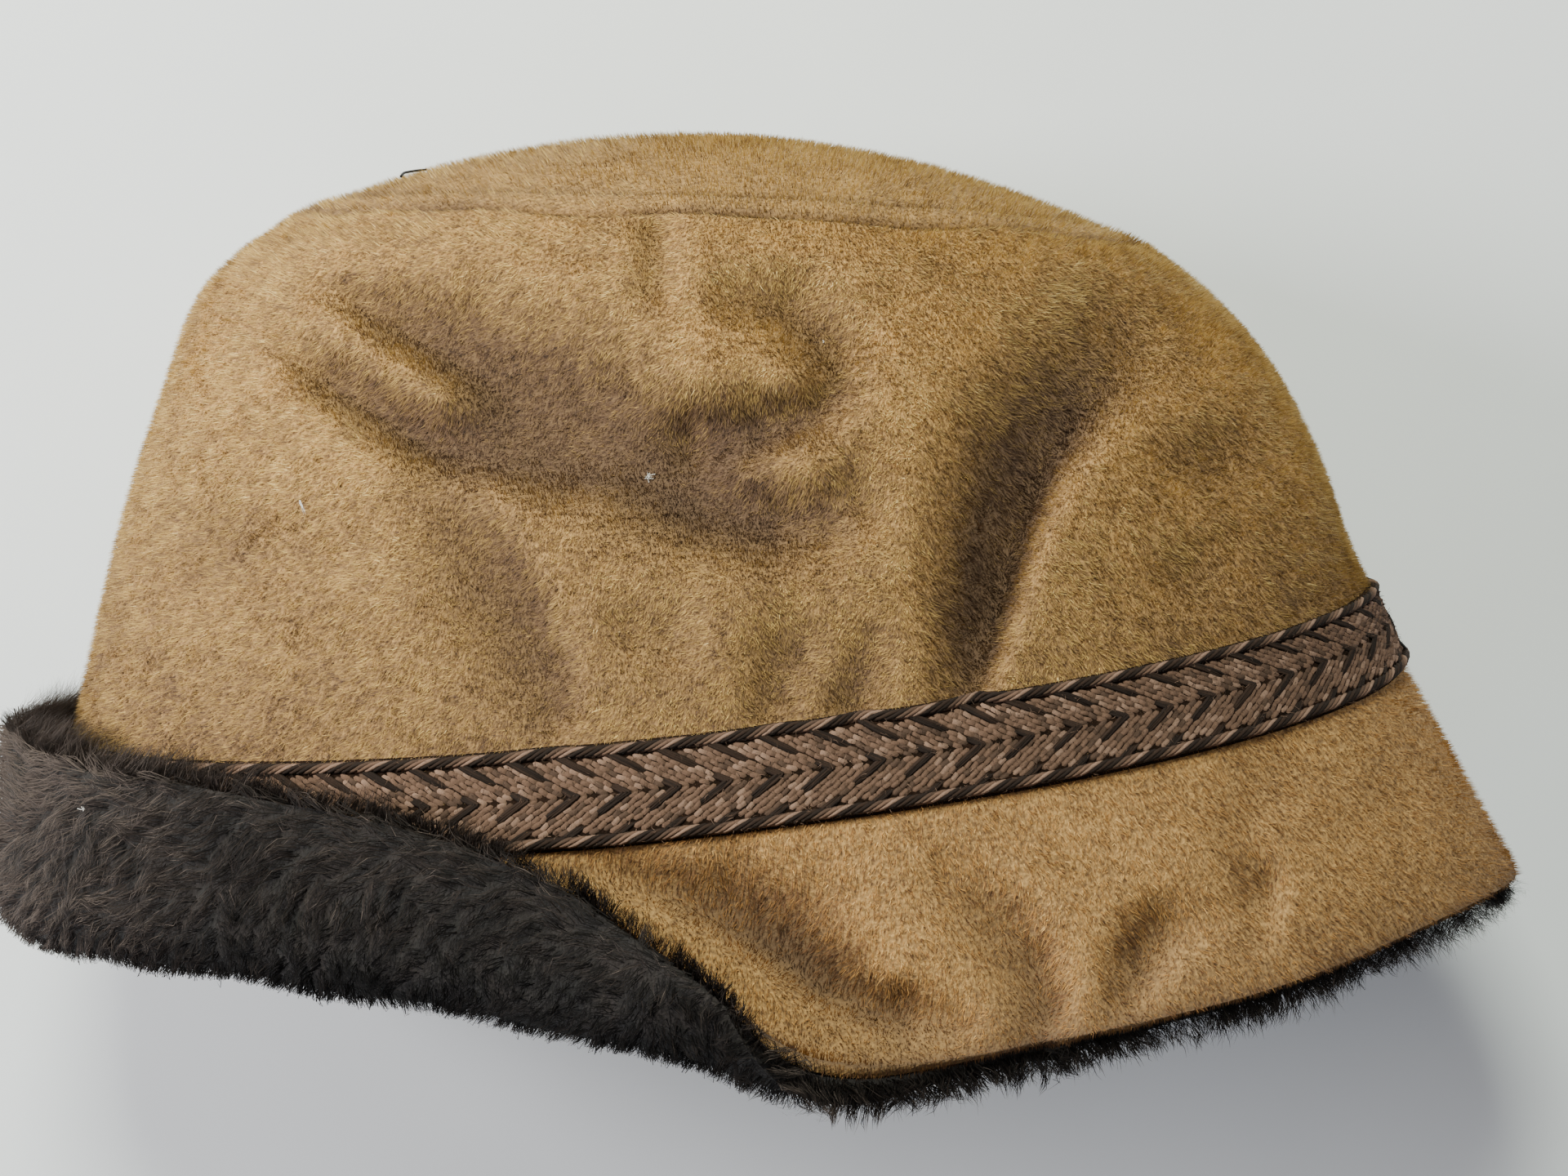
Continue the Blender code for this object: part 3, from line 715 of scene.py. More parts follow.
def mottled(material, colours, patch, grain, relief, painted_shade=None, grain_share=0.0):
    """Gives a material soft patches of two colours and a fine raised grain, and a third colour for the
    painted shade that the piece carries. Patch, grain and relief are real sizes in millimetres."""
    surface = material.node_tree.nodes["Principled BSDF"]
    place = add_node(material, "ShaderNodeTexCoord").outputs["Object"]
    patches, grains = (
        add_node(
            material, "ShaderNodeTexNoise", {"Scale": 1 / (size * MM), "Detail": detail}, {"Vector": place}
        ).outputs["Fac"]
        for size, detail in ((patch, 3.0), (grain, 2.0))
    )
    blend = add_node(material, "ShaderNodeMix", {FACTOR: grain_share}, {NUMBER_A: patches, NUMBER_B: grains})
    ramp = add_node(material, "ShaderNodeValToRGB", {}, {"Fac": blend.outputs[0]})
    for stop, colour, position in zip(ramp.color_ramp.elements, colours, (0.35, 0.65)):
        stop.color = linear(colour)
        stop.position = position
    bump = add_node(
        material, "ShaderNodeBump", {"Strength": 1.0, "Distance": relief * MM}, {"Height": grains}
    )
    shown = ramp.outputs["Color"]
    # The painted shade that the piece carries mixes in the third colour.
    if painted_shade is not None:
        amount = add_node(material, "ShaderNodeAttribute", {"attribute_name": "painted_shade"}).outputs["Fac"]
        settings = {"data_type": "RGBA", COLOUR_B: linear(painted_shade)}
        both = add_node(material, "ShaderNodeMix", settings, {FACTOR: amount, COLOUR_A: shown})
        shown = both.outputs[2]
    material.node_tree.links.new(shown, surface.inputs["Base Color"])
    material.node_tree.links.new(bump.outputs["Normal"], surface.inputs["Normal"])
    return material


def brushed_nap(name, tones):
    """Wool velour, brushed up after fulling: matt hair ends that glow a little with the light behind them.
    Wool hair is 0.02 mm thick and too fine to show, so one stroke stands for a tuft of it, 0.22 mm wide. Each
    stroke takes one of the tones by chance and by the painted light and painted shade of its place."""
    return [fibre(f"{name}_{k}", tone, roughness=0.9, glow=0.35) for k, tone in enumerate(tones)]


def crown_nap():
    """The nap of the crown, paler and yellower than the brim's."""
    tones = ("#3a2b21", "#543f30", "#6d533e", "#866a47", "#a2834e", "#bb9a5b", "#d0b06c", "#e4c98a")
    return brushed_nap("brushed_wool_nap", tones)


def brim_nap():
    """The nap of the brim, a deeper orange brown."""
    tones = ("#38261a", "#4f3725", "#66482f", "#7f5937", "#986e3d", "#b08248", "#c69655", "#dbb374")
    return brushed_nap("brushed_wool_brim_nap", tones)


def velour_ground():
    """Fulled wool under the nap: dull and felted, with a grain of 0.7 mm from its tufts and dye patches of 9
    mm. It turns a darker brown where the piece carries painted shade: in the creases, at the tip seam, above
    the braid and towards the edge of the brim."""
    felt = finish("wool_velour_ground", "#8f7048", roughness=0.95)
    colours = ("#6c5131", "#b28c55")
    # The third colour is the darker brown of the painted shade.
    return mottled(felt, colours, patch=9, grain=0.7, relief=0.4, painted_shade="#57422f", grain_share=0.75)


def cloth_back():
    """The unbrushed back of the wool cloth: matt, flat and a little greyer."""
    cloth = finish("wool_cloth_back", "#8a6d48", roughness=0.95)
    return mottled(cloth, ("#7d6145", "#93744c"), patch=12, grain=0.7, relief=0.3)


def acrylic_pile():
    """Knitted acrylic pile fur, brushed into locks: nearly black in its depths and brown where the ends catch
    the light, with a weak silky shine. Real pile is 0.03 mm thick, so a strand stands for a few hairs."""
    tones = ("#0c0908", "#13100e", "#1b1613", "#28211d", "#39322e", "#554b45")
    return [
        fibre(f"acrylic_fur_{k}", tone, roughness=0.75, glow=0.25, gloss=0.15) for k, tone in enumerate(tones)
    ]


def pile_backing():
    """The knitted back of the pile fur, seen only as dark gaps between the locks."""
    knit = finish("fur_ground", "#120e0c", roughness=0.95)
    return mottled(knit, ("#0c0908", "#1b1411"), patch=5, grain=0.6, relief=0.5)


def braid_backing():
    """Espresso wool yarn packed under the braid's stitches: matt and almost without shine."""
    packed = finish("braid_ground", "#1c130e", roughness=0.95, gloss=0.05)
    return mottled(packed, ("#17100b", "#241811"), patch=5, grain=0.4, relief=0.3)


def spun_wool(name, pairs):
    """Spun wool yarn: matt and softly streaked. Its fibres are too fine to show, so the grain is drawn at
    0.22 mm, about a seventh of a stitch, and tones vary over 2 mm as dye does along a yarn."""
    made = []
    for k, pair in enumerate(pairs):
        yarn = finish(f"{name}_{k}", pair[0], roughness=0.9, gloss=0.2)
        made.append(mottled(yarn, pair, patch=2, grain=0.22, relief=0.12, grain_share=0.6))
    return made


def taupe_yarns():
    """The light yarns of the braid."""
    pairs = (("#3b2c23", "#4b3a2f"), ("#503d31", "#644d3f"), ("#665144", "#7e6556"))
    return spun_wool("taupe_wool_yarn", pairs)


def espresso_yarns():
    """The dark yarns of the braid."""
    return spun_wool("espresso_wool_yarn", (("#170f0a", "#1f150f"), ("#201610", "#2c1e15")))


def sewing_thread():
    """Black sewing thread, spun and twisted, with a slight shine."""
    spun = finish("black_sewing_thread", "#141214", roughness=0.7)
    return mottled(spun, ("#101010", "#1b181b"), patch=1, grain=0.1, relief=0.03)


def lint_fluff():
    """Pale cotton lint: matt, off-white and uneven."""
    fluff = finish("pale_lint", "#c4c2be", roughness=0.9)
    return mottled(fluff, ("#b5b3ae", "#d0cecb"), patch=1, grain=0.1, relief=0.03)


def painted_table():
    """A table of smooth satin paint, nearly white, its tone barely uneven."""
    paint = finish("painted_table", "#d8dcdf", roughness=0.5)
    return mottled(paint, ("#d6dadd", "#dadee1"), patch=80, grain=2, relief=0.02)


def mesh_piece(name, places, triangles, materials, kinds=None, normals=None, replaced=()):
    """One piece of the hat from its corners in millimetres and its triangles."""
    mesh = bpy.data.meshes.new(name)
    mesh.vertices.add(len(places))
    mesh.vertices.foreach_set("co", (places * MM).astype(np.float32).ravel())
    mesh.loops.add(triangles.size)
    mesh.loops.foreach_set("vertex_index", triangles.astype(np.int32).ravel())
    mesh.polygons.add(len(triangles))
    mesh.polygons.foreach_set("loop_start", np.arange(0, triangles.size, 3, dtype=np.int32))
    mesh.polygons.foreach_set("use_smooth", np.ones(len(triangles), bool))
    for material in materials:
        mesh.materials.append(material)
    if kinds is not None:
        mesh.polygons.foreach_set("material_index", kinds.astype(np.int32))
    mesh.update(calc_edges=True)
    if normals is not None:
        mesh.normals_split_custom_set_from_vertices(normals)
    piece = bpy.data.objects.new(name, mesh)
    bpy.context.scene.collection.objects.link(piece)
    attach(piece, "root")
    if replaced:
        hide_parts(*replaced)
    return piece


def net(rows, columns, closed=False):
    """Triangles over a grid of corners that goes round, and round its rows too where it is closed."""
    row, column = np.meshgrid(np.arange(rows if closed else rows - 1), np.arange(columns), indexing="ij")
    below, beside = (row + 1) % rows, (column + 1) % columns
    corners = ((row, column), (below, column), (below, beside), (row, beside))
    a, b, c, d = ((r * columns + k).ravel() for r, k in corners)
    return np.concatenate([np.stack([a, b, c], axis=1), np.stack([a, c, d], axis=1)])


def shell(name, outer, inner, face, back, replaced, painted_shade=None):
    """A closed piece of cloth, braid or fur backing: one material on its outer face, another on its back."""
    grid = np.concatenate([outer.points, inner.points[::-1]])
    triangles = net(*grid.shape[:2], closed=True)
    on_back = (triangles // grid.shape[1] >= len(outer.points)).all(axis=1)
    places = grid.reshape(-1, 3)
    piece = mesh_piece(name, places, triangles, [face, back], kinds=on_back, replaced=(replaced,))
    # The painted shade goes to the material as an attribute of the corners.
    if painted_shade is not None:
        amount = np.zeros(grid.shape[:2], np.float32)
        amount[: len(painted_shade)] = painted_shade
        piece.data.attributes.new("painted_shade", "FLOAT", "POINT").data.foreach_set("value", amount.ravel())
    return piece


def strands(name, spine, side, out, tones, materials):
    """Tapering strands of hair or nap, each along its own spine, with its tone and the way it faces. A tone
    may be one for the whole strand, or one for each of its triangles."""
    count, knots, _ = spine.shape
    half = side[:, None] * np.linspace(1, 0.6, knots - 1)[:, None]
    edges = np.stack([spine[:, :-1] - half, spine[:, :-1] + half], axis=2).reshape(count, -1, 3)
    corners = np.concatenate([edges, spine[:, -1:]], axis=1)
    step = np.arange(2 * knots - 3)
    odd = step % 2
    one = np.stack([step + odd, step + 1 - odd, step + 2], axis=1)
    triangles = (one + np.arange(count)[:, None, None] * corners.shape[1]).reshape(-1, 3)
    kinds = tones.ravel() if tones.ndim == 2 else np.repeat(tones, len(step))
    normals = np.repeat(unit(out), corners.shape[1], axis=0)
    return mesh_piece(name, corners.reshape(-1, 3), triangles, materials, kinds, normals)


def yarns(name, path, out, radius, kinds, materials, closed=False, sides=4):
    """Round yarns, each along its own path of places."""
    count, knots, _ = path.shape
    if closed:
        tangent = np.roll(path, -1, axis=1) - np.roll(path, 1, axis=1)
    else:
        tangent = np.gradient(path, axis=1)
    side = unit(np.cross(tangent, out))
    up = unit(np.cross(side, tangent))
    angle = np.arange(sides) / sides * 2 * math.pi
    rim = side[:, :, None] * np.cos(angle)[:, None] + up[:, :, None] * np.sin(angle)[:, None]
    places = path[:, :, None] + rim * radius[:, :, None, None]
    one = net(knots, sides, closed)[:, ::-1]
    triangles = (one + np.arange(count)[:, None, None] * knots * sides).reshape(-1, 3)
    kinds = np.repeat(kinds, len(one))
    return mesh_piece(name, places.reshape(-1, 3), triangles, materials, kinds)


def pick_tones(value, steps):
    """The number of the tone for each value from -1 to 1."""
    return np.clip(((value + 1) / 2 * steps).astype(int), 0, steps - 1)


def seam_levels():
    """The level at which the tip's cloth ends, and how many levels its turned-in seam is wide."""
    half_height = (SECTIONS[0].top_z - SECTIONS[0].floor_z) / 2
    return TIP_SEAM_LEVEL - TIP_SLIT, SEAM_WIDTH / half_height


def on_long_side(turn):
    """How far the seam stands out round the hat: fully on its long sides, and little at its ends."""
    return 0.2 + 0.8 * np.sin(turn) ** 2


def tip_height(level, turn):
    """How far the tip stands over its dome: a raised band over the turned-in seam, and a groove beside it."""
    rim, seam = seam_levels()
    share = np.clip((level - (rim - seam)) / seam, 0, 1)
    groove = 0.5 * bell((1 - share) * SEAM_WIDTH, 1.0)
    return (SEAM_HEIGHT * np.clip(np.sin(share * math.pi) * 3, 0, 1) - groove) * on_long_side(turn)


def wall_height(level, turn):
    """How far the wall stands out beside the tip seam: a groove, then a low swell."""
    down = (level - TIP_SEAM_LEVEL) * WALL_REACH
    return (0.5 * bell(down - 2.5, 1.6) - 0.5 * bell(down, 1.1)) * on_long_side(turn)


def lock_heights(level, turn):
    """How high the pile's backing stands: low waves under the locks."""
    wave = BACKING_WAVE * np.sin(LOCKS_ROUND * turn) * np.sin(LOCKS_ACROSS * level)
    return -(CLOTH + GAP) - PILE * BACKING_SHARE - wave


def nap_shade(points, level):
    """The painted shade of the nap, from 0 to 1: in the creases, in the groove and along the line of the tip
    seam, a little on the tip, and more towards the braid and the edge of the brim. The band between the two
    lines of the seam is ribbed."""
    down_wall = np.clip(level - TIP_SEAM_LEVEL, 0, None) * WALL_REACH
    up_tip = np.clip(TIP_SEAM_LEVEL - level, 0, None) * TIP_REACH
    uneven = 0.75 + drift(points, SEAM_UNEVEN)
    groove = SHADES.groove * uneven * bell(down_wall + up_tip, GROOVE_WIDTH)
    line = SHADES.line * uneven * bell(up_tip - SEAM_WIDTH - LINE_PAST_SEAM, LINE_WIDTH)
    on_tip = SHADES.tip * (level < TIP_SEAM_LEVEL)
    on_band = (up_tip > 0.8) & (up_tip < SEAM_WIDTH)
    ribs = SHADES.ribs * np.sin(2 * math.pi * (points[..., 0] + RIB_SLANT * up_tip) / RIB_PITCH) * on_band
    foot = SHADES.foot * np.clip((level - 1.4) / 0.4, 0, 1) * (level < BRAID_FOOT_LEVEL)
    on_brim = between(SHADES.brim, np.clip((level - 2.4) / 0.6, 0, 1)) * (level > BRAID_FOOT_LEVEL)
    return np.clip(painted_crease_shade(points) + groove + line + ribs + on_tip + foot + on_brim, -0.3, 1.15)


def sew_cloth():
    """The tip, the wall and the brim as shells of cloth. Gives back their outer faces and the brim's back."""
    ground, back = velour_ground(), cloth_back()
    rim, seam = seam_levels()
    tip_levels = np.concatenate([
        np.linspace(FIRST_LEVEL, rim - seam - 0.02, 27),
        np.linspace(rim - seam, rim, 8),
    ])
    wall_levels = np.concatenate([
        TIP_SEAM_LEVEL + np.array([TIP_SLIT, 0.006, 0.013, 0.021, 0.031]),
        np.linspace(TIP_SEAM_LEVEL + 0.042, BRAID_TOP_LEVEL, 58),
        [JOIN_LEVEL - JOIN_SLIT],
    ])
    levels = brim_levels()
    around = stations(COLUMNS)
    tip = layer(tip_levels, tip_height)
    tip_back = layer(tip_levels[::3], -CLOTH, CLOTH)
    wall = layer(wall_levels, wall_height)
    wall_back = layer(wall_levels[::3], -CLOTH, CLOTH)
    brim = layer(levels, 0, resting_height(around, 0, PRESSED_FUR + GAP + CLOTH))
    brim_back = layer(levels[::3], -CLOTH, resting_height(around, CLOTH, PRESSED_FUR + GAP))
    for name, face, behind, node in (
        ("tip_cloth", tip, tip_back, "crown_tip"),
        ("wall_cloth", wall, wall_back, "crown_wall"),
        ("brim_cloth", brim, brim_back, "brim"),
    ):
        # Painted shade for the ground under the nap, the same as the nap's.
        painted_shade = nap_shade(face.points, face.level)
        shell(name, face, behind, ground, back, node, painted_shade)
    return tip, wall, brim, brim_back


def brim_levels():
    """The levels of the brim's rows, from where it joins the crown to its edge."""
    return np.append(JOIN_LEVEL + JOIN_SLIT, np.linspace(BRAID_FOOT_LEVEL, EDGE_LEVEL, 48))


def lay_braid(light, dark):
    """The braid: its packed ground, its stitches and its cords. Gives back the ring that they lie on."""
    levels = np.linspace(BRAID_TOP_LEVEL, BRAID_FOOT_LEVEL, 9)
    packed = braid_backing()
    front = layer(levels, GAP + np.array([0.3, 1, 1, 1, 1, 1, 1, 1, 0.3]))
    shell("braid_base", front, layer(levels[::4], GAP), packed, packed, "braid_band")
    ring = layer(levels, GAP, columns=BRAID_COLUMNS)
    braid_stitches(ring, light)
    braid_dark_arms(ring, dark)
    braid_cords(ring, light + dark)
    return ring


def line_brim():
    """The backing of the fur. Gives back its face towards the cloth and its face under the pile."""
    backing = pile_backing()
    levels = np.append(brim_levels()[1::3], 3.1)
    front = layer(levels, -(CLOTH + GAP), resting_height(stations(COLUMNS), CLOTH + GAP, PRESSED_FUR))
    skin = layer(np.linspace(BRAID_FOOT_LEVEL, 3.2, 36), lock_heights)
    shell("fur_ground", front, skin, backing, backing, "fur_lining")
    return front, skin


def nap(name, sheet, count, seed, materials, wanted=None, length=NAP_LENGTH):
    """The brushed nap of the cloth: short strokes that lie towards the brim, in soft tufts."""
    dice = np.random.default_rng(seed)
    spots = scatter(sheet, count, dice, wanted)
    root, out, onward = roots(sheet, spots)
    side = unit(np.cross(onward, out))
    sweep = NAP_LEAN + drift(root, NAP_SWEEP, seed) + dice.normal(0, NAP_CHANCE.sweep, count)
    lean = unit(onward * np.cos(sweep)[:, None] + side * np.sin(sweep)[:, None])
    rise = np.radians(between(NAP_LIFT, 0.5 + drift(root, NAP_TUFTS, seed)))
    rise = rise + dice.normal(0, NAP_CHANCE.lift, count)
    way = lean * np.cos(rise)[:, None] + out * np.sin(rise)[:, None]
    reach = length * between(NAP_VARIES, dice.random(count))
    spine = np.stack([root - out * NAP_ROOT, root + way * reach[:, None]], axis=1)
    spine[..., 2] = np.maximum(spine[..., 2], NAP_CLEARANCE)
    width = unit(np.cross(way, out)) * NAP_HALF_WIDTH
    frayed = root + side * (drift(root, NAP_FRAY, seed) + dice.normal(0, NAP_CHANCE.fray, count))[:, None]
    # Painted shade of each stroke, read at a frayed place so that its edges are ragged.
    painted_shade = nap_shade(frayed, at(sheet.level, spots))
    flecks = drift(root, NAP_FLECKS, seed) + dice.normal(0, NAP_CHANCE.fleck, count)
    # Painted light on the steep sides of the hat, strongest where the cloth faces sideways.
    painted_light_steep = 1 - np.clip(out[:, 2], 0, 1)
    # The tone of each stroke: chance patches and flecks, painted light towards the front and on the steep
    # sides, and painted shade.
    shade = (
        NAP_ADDS.base
        + NAP_ADDS.front * np.clip(root[:, 0] / 60, -0.5, 1)
        + drift(root, NAP_TONE, seed)
        + flecks * (1 - 0.45 * painted_shade)
        + NAP_ADDS.painted_light_steep * painted_light_steep**2
        + NAP_ADDS.painted_shade * painted_shade
    )
    facing = out + NAP_CHANCE.facing * dice.normal(0, 1, (count, 3))
    tones = pick_tones(shade, len(materials))
    return strands(name, spine, width, facing, tones, materials)


def brush_cloth(tip, wall, brim, brim_back):
    """The nap of all the cloth, thinner on the side that lies on the table."""
    crown, rim = crown_nap(), brim_nap()
    upper = np.clip((np.sin(wall.turn[:-1]) + 0.45) / 0.45, 0, 1)
    ahead = np.cos(wall.turn[:-1]) > 0
    nap("wall_nap_front", wall, 130000, 11, crown, upper * ahead)
    nap("wall_nap_back", wall, 130000, 15, crown, upper * ~ahead)
    nap("wall_nap_under", wall, 16000, 12, crown, 1 - upper)
    nap("tip_nap", tip, 50000, 13, crown)
    nap("brim_nap", brim, 110000, 14, rim, brim.level[:-1] < 2.98)
    nap("brim_edge_nap", rim_layer(brim, brim_back, 1), 9000, 16, rim, length=EDGE_NAP_LENGTH)


def fur_way(root, out, onward, level, seed):
    """The way the pile is brushed: round the hat, and over the edge near the edge of the brim."""
    around = unit(np.cross(out, onward))
    angle = 2.5 - 2.0 * np.clip((level - 2.8) / 0.3, 0, 1) + drift(root, FUR_FLOW, seed)
    return onward * np.cos(angle)[:, None] + around * np.sin(angle)[:, None]


def nearest_places(places, root):
    """The number of the nearest of some places to each root."""
    tree = KDTree(len(places))
    for index, place in enumerate(places):
        tree.insert(place, index)
    tree.balance()
    return np.array([tree.find(place)[1] for place in root])


def fur_strands(name, sheet, count, seed, materials, wanted, painted_light=0.0):
    """The long pile of the fur: soft strands that gather into locks and wave along the brim."""
    dice = np.random.default_rng(seed)
    locks = scatter(sheet, count // STRANDS_IN_LOCK, dice, wanted)
    spots = scatter(sheet, count, dice, wanted)
    lock_root, lock_in, lock_onward = roots(sheet, locks)
    lock_way = fur_way(lock_root, -lock_in, lock_onward, at(sheet.level, locks), seed)
    root, inward, onward = roots(sheet, spots)
    out = -inward
    level = at(sheet.level, spots)
    way = fur_way(root, out, onward, level, seed)
    nearest = nearest_places(lock_root, root)
    parting = crease_depth(root, PARTINGS)
    shorter = (1 - 0.5 * bell(level - 2.52, 0.2)) * (1 - 0.2 * parting)
    length = (between(FUR_LENGTH, dice.random(count)) * shorter)[:, None]
    rise = FUR_LIFT + drift(root, FUR_RUFFLE, seed) + dice.normal(0, FUR_CHANCE.lift, count)
    rise = np.radians(rise)[:, None]
    free_tip = root + (way * np.cos(rise) + out * np.sin(rise)) * length
    lock_tip = lock_root[nearest] + lock_way[nearest] * length * 0.8 - lock_in[nearest] * length * 0.55
    tip = free_tip * (1 - LOCK_PULL) + lock_tip * LOCK_PULL
    curl = (0.7 * dice.choice([-1, 1], len(lock_root))[nearest])[:, None]
    middle = (root + tip) / 2 + out * length * 0.2 + np.cross(way, out) * curl
    middle = middle + dice.normal(0, FUR_CHANCE.bend, (count, 3))
    spine = np.stack([root, middle, tip], axis=1)
    spine[..., 2] = np.maximum(spine[..., 2], FUR_CLEARANCE)
    side = unit(np.cross(tip - root, out)) * between(FUR_HALF_WIDTH, dice.random(count))[:, None]
    # Painted light on the fur at the far left of the hat, and along the braid on the back half.
    painted_light_far_left = np.clip((-root[:, 0] - 85) / 50, 0, 1)
    painted_light_by_braid = np.clip((root[:, 1] + 62) / 30, 0, 1) * np.clip(-root[:, 0] / 30, 0, 1)
    # The tone of each strand: chance, weaker in the painted light at the far left, painted shade in the
    # partings and painted light.
    shade = (
        (drift(root, FUR_TONE, seed) + dice.normal(0, FUR_CHANCE.tone, count)) * (1 - 0.4 * painted_light_far_left)
        + FUR_ADDS.base
        + painted_light
        + FUR_ADDS.parting * parting
        + FUR_ADDS.painted_light_far_left * painted_light_far_left
        + FUR_ADDS.painted_light_by_braid * painted_light_by_braid
    )
    # Each strand is darker at its root and paler at its tip: painted shade deep in the pile and painted light
    # at the ends.
    tones = np.stack([pick_tones(shade + step, len(materials)) for step in (-0.25, 0, 0.3)], axis=1)
    around_lock = unit(root - lock_root[nearest] + 1e-4)
    facing = out + way * 0.3 + 0.55 * around_lock + FUR_CHANCE.facing * dice.normal(0, 1, (count, 3))
    return strands(name, spine, side, facing, tones, materials)


def edge_strands(name, sheet, count, seed, materials, wanted):
    """The pile that shows round the edge of the cloth, in short ragged tufts."""
    dice = np.random.default_rng(seed)
    spots = scatter(sheet, count, dice, wanted)
    root, out, onward = roots(sheet, spots)
    around = unit(np.cross(out, onward))
    swing = drift(root, EDGE_FLOW, seed)
    way = onward * np.cos(swing)[:, None] + around * np.sin(swing)[:, None]
    turn = sheet.turn[spots.row, spots.column]
    width, drop, *_ = brim_turn(turn)
    turned_up = np.clip((width - drop) / 25, 0, 1)
    at_back = np.clip(-np.cos(turn) * 2 - 1, 0, 1)
    length = between(EDGE_LENGTH, dice.random(count)) * (0.75 + drift(root, EDGE_TUFTS, seed))
    length = (length + EDGE_BACK_LENGTH * at_back)[:, None]
    root = root - out * (5.0 * dice.random(count) - 0.2)[:, None]
    lean = 0.05 + 0.4 * turned_up + 0.35 * at_back + dice.normal(0, EDGE_CHANCE.lean, count)
    tip = root + (way + out * lean[:, None]) * length
    middle = (root + tip) / 2 + out * length * 0.12 + dice.normal(0, EDGE_CHANCE.bend, (count, 3))
    spine = np.stack([root, middle, tip], axis=1)
    spine[..., 2] = np.maximum(spine[..., 2], FUR_CLEARANCE)
    side = unit(np.cross(tip - root, out)) * between(EDGE_HALF_WIDTH, dice.random(count))[:, None]
    # The tone of each strand: chance, paler where the brim is turned up, and painted light at the back of the
    # hat.
    shade = (
        drift(root, EDGE_TONE, seed)
        + dice.normal(0, EDGE_CHANCE.tone, count)
        + EDGE_ADDS.base
        + EDGE_ADDS.turned_up * turned_up
        + EDGE_ADDS.at_back * at_back
    )
    facing = out + way * 0.7 + EDGE_CHANCE.facing * dice.normal(0, 1, (count, 3))
    tones = pick_tones(shade, len(materials))
    return strands(name, spine, side, facing, tones, materials)


def brush_fur(front, skin):
    """The pile: on the backing, thicker over the fold, round the rim of the brim and along its edge. Gives
    back the layer that the long pile grows from."""
    pile = acrylic_pile()
    fur = layer(np.linspace(BRAID_FOOT_LEVEL, 3.5, 40), lock_heights)
    on_upper_side = 0.25 + 0.75 * (np.sin(fur.turn[:-1]) > -0.15)
    at_fold = 1 + bell(fur.level[:-1] - 2.5, 0.15)
    fur_strands("fur_pile", fur, 60000, 21, pile, on_upper_side * at_fold)
    rim = rim_layer(front, skin, -1)
    # The rim pile gets painted light, for the highlights on its curls.
    fur_strands("fur_rim_pile", rim, 9000, 24, pile, on_upper_side[: len(rim.points) - 1], painted_light=0.45)
    edge = layer(np.linspace(2.97, FUR_EDGE_LEVEL, 8), -(CLOTH + GAP))
    edge_strands("fur_edge", edge, 10000, 22, pile, on_upper_side[: len(edge.points) - 1])
    edge_strands("fur_back_edge", edge, 5000, 23, pile, np.cos(edge.turn[:-1]) < -0.75)
    return fur


def braid_run(ring):
    """The way along the middle of the braid at each of its columns, and once round."""
    middle = ring.points[len(ring.points) // 2]
    steps = np.linalg.norm(np.roll(middle, -1, axis=0) - middle, axis=1)
    return np.concatenate([[0], np.cumsum(steps)])


def on_braid(ring, along, across, height):
    """Places over the braid and the way out there: along it in repeats from the front, across it up towards
    the crown, and at a height over its foot."""
    run = braid_run(ring)
    shape = np.broadcast(along, across, height).shape
    along, across, height = (np.broadcast_to(value, shape).ravel() for value in (along, across, height))
    column = np.interp(along / BRAID_REPEATS % 1 * run[-1], run, np.arange(len(run)))
    row = np.clip(0.5 - across / BRAID_WIDTH, 0, 0.9999) * (len(ring.points) - 1)
    whole_row, whole_column = row.astype(int), column.astype(int)
    spots = Spots(whole_row, whole_column % (len(run) - 1), row - whole_row, column - whole_column)
    out = unit(at(ring.out, spots))
    return (at(ring.points, spots) + out * height[:, None]).reshape(*shape, 3), out.reshape(*shape, 3)


def sunk(side, share):
    """How far a dark arm dips under the light stitches, from 0 to 1, at a share of its way outwards."""
    middle = np.where(side > 0, 0.36, 0.64)
    return np.clip(1.6 - np.abs(share - middle) / 0.16, 0, 1)


def every(*ranges):
    """Every combination of some ranges, as one flat list for each of them."""
    return (grid.ravel() for grid in np.meshgrid(*ranges, indexing="ij"))


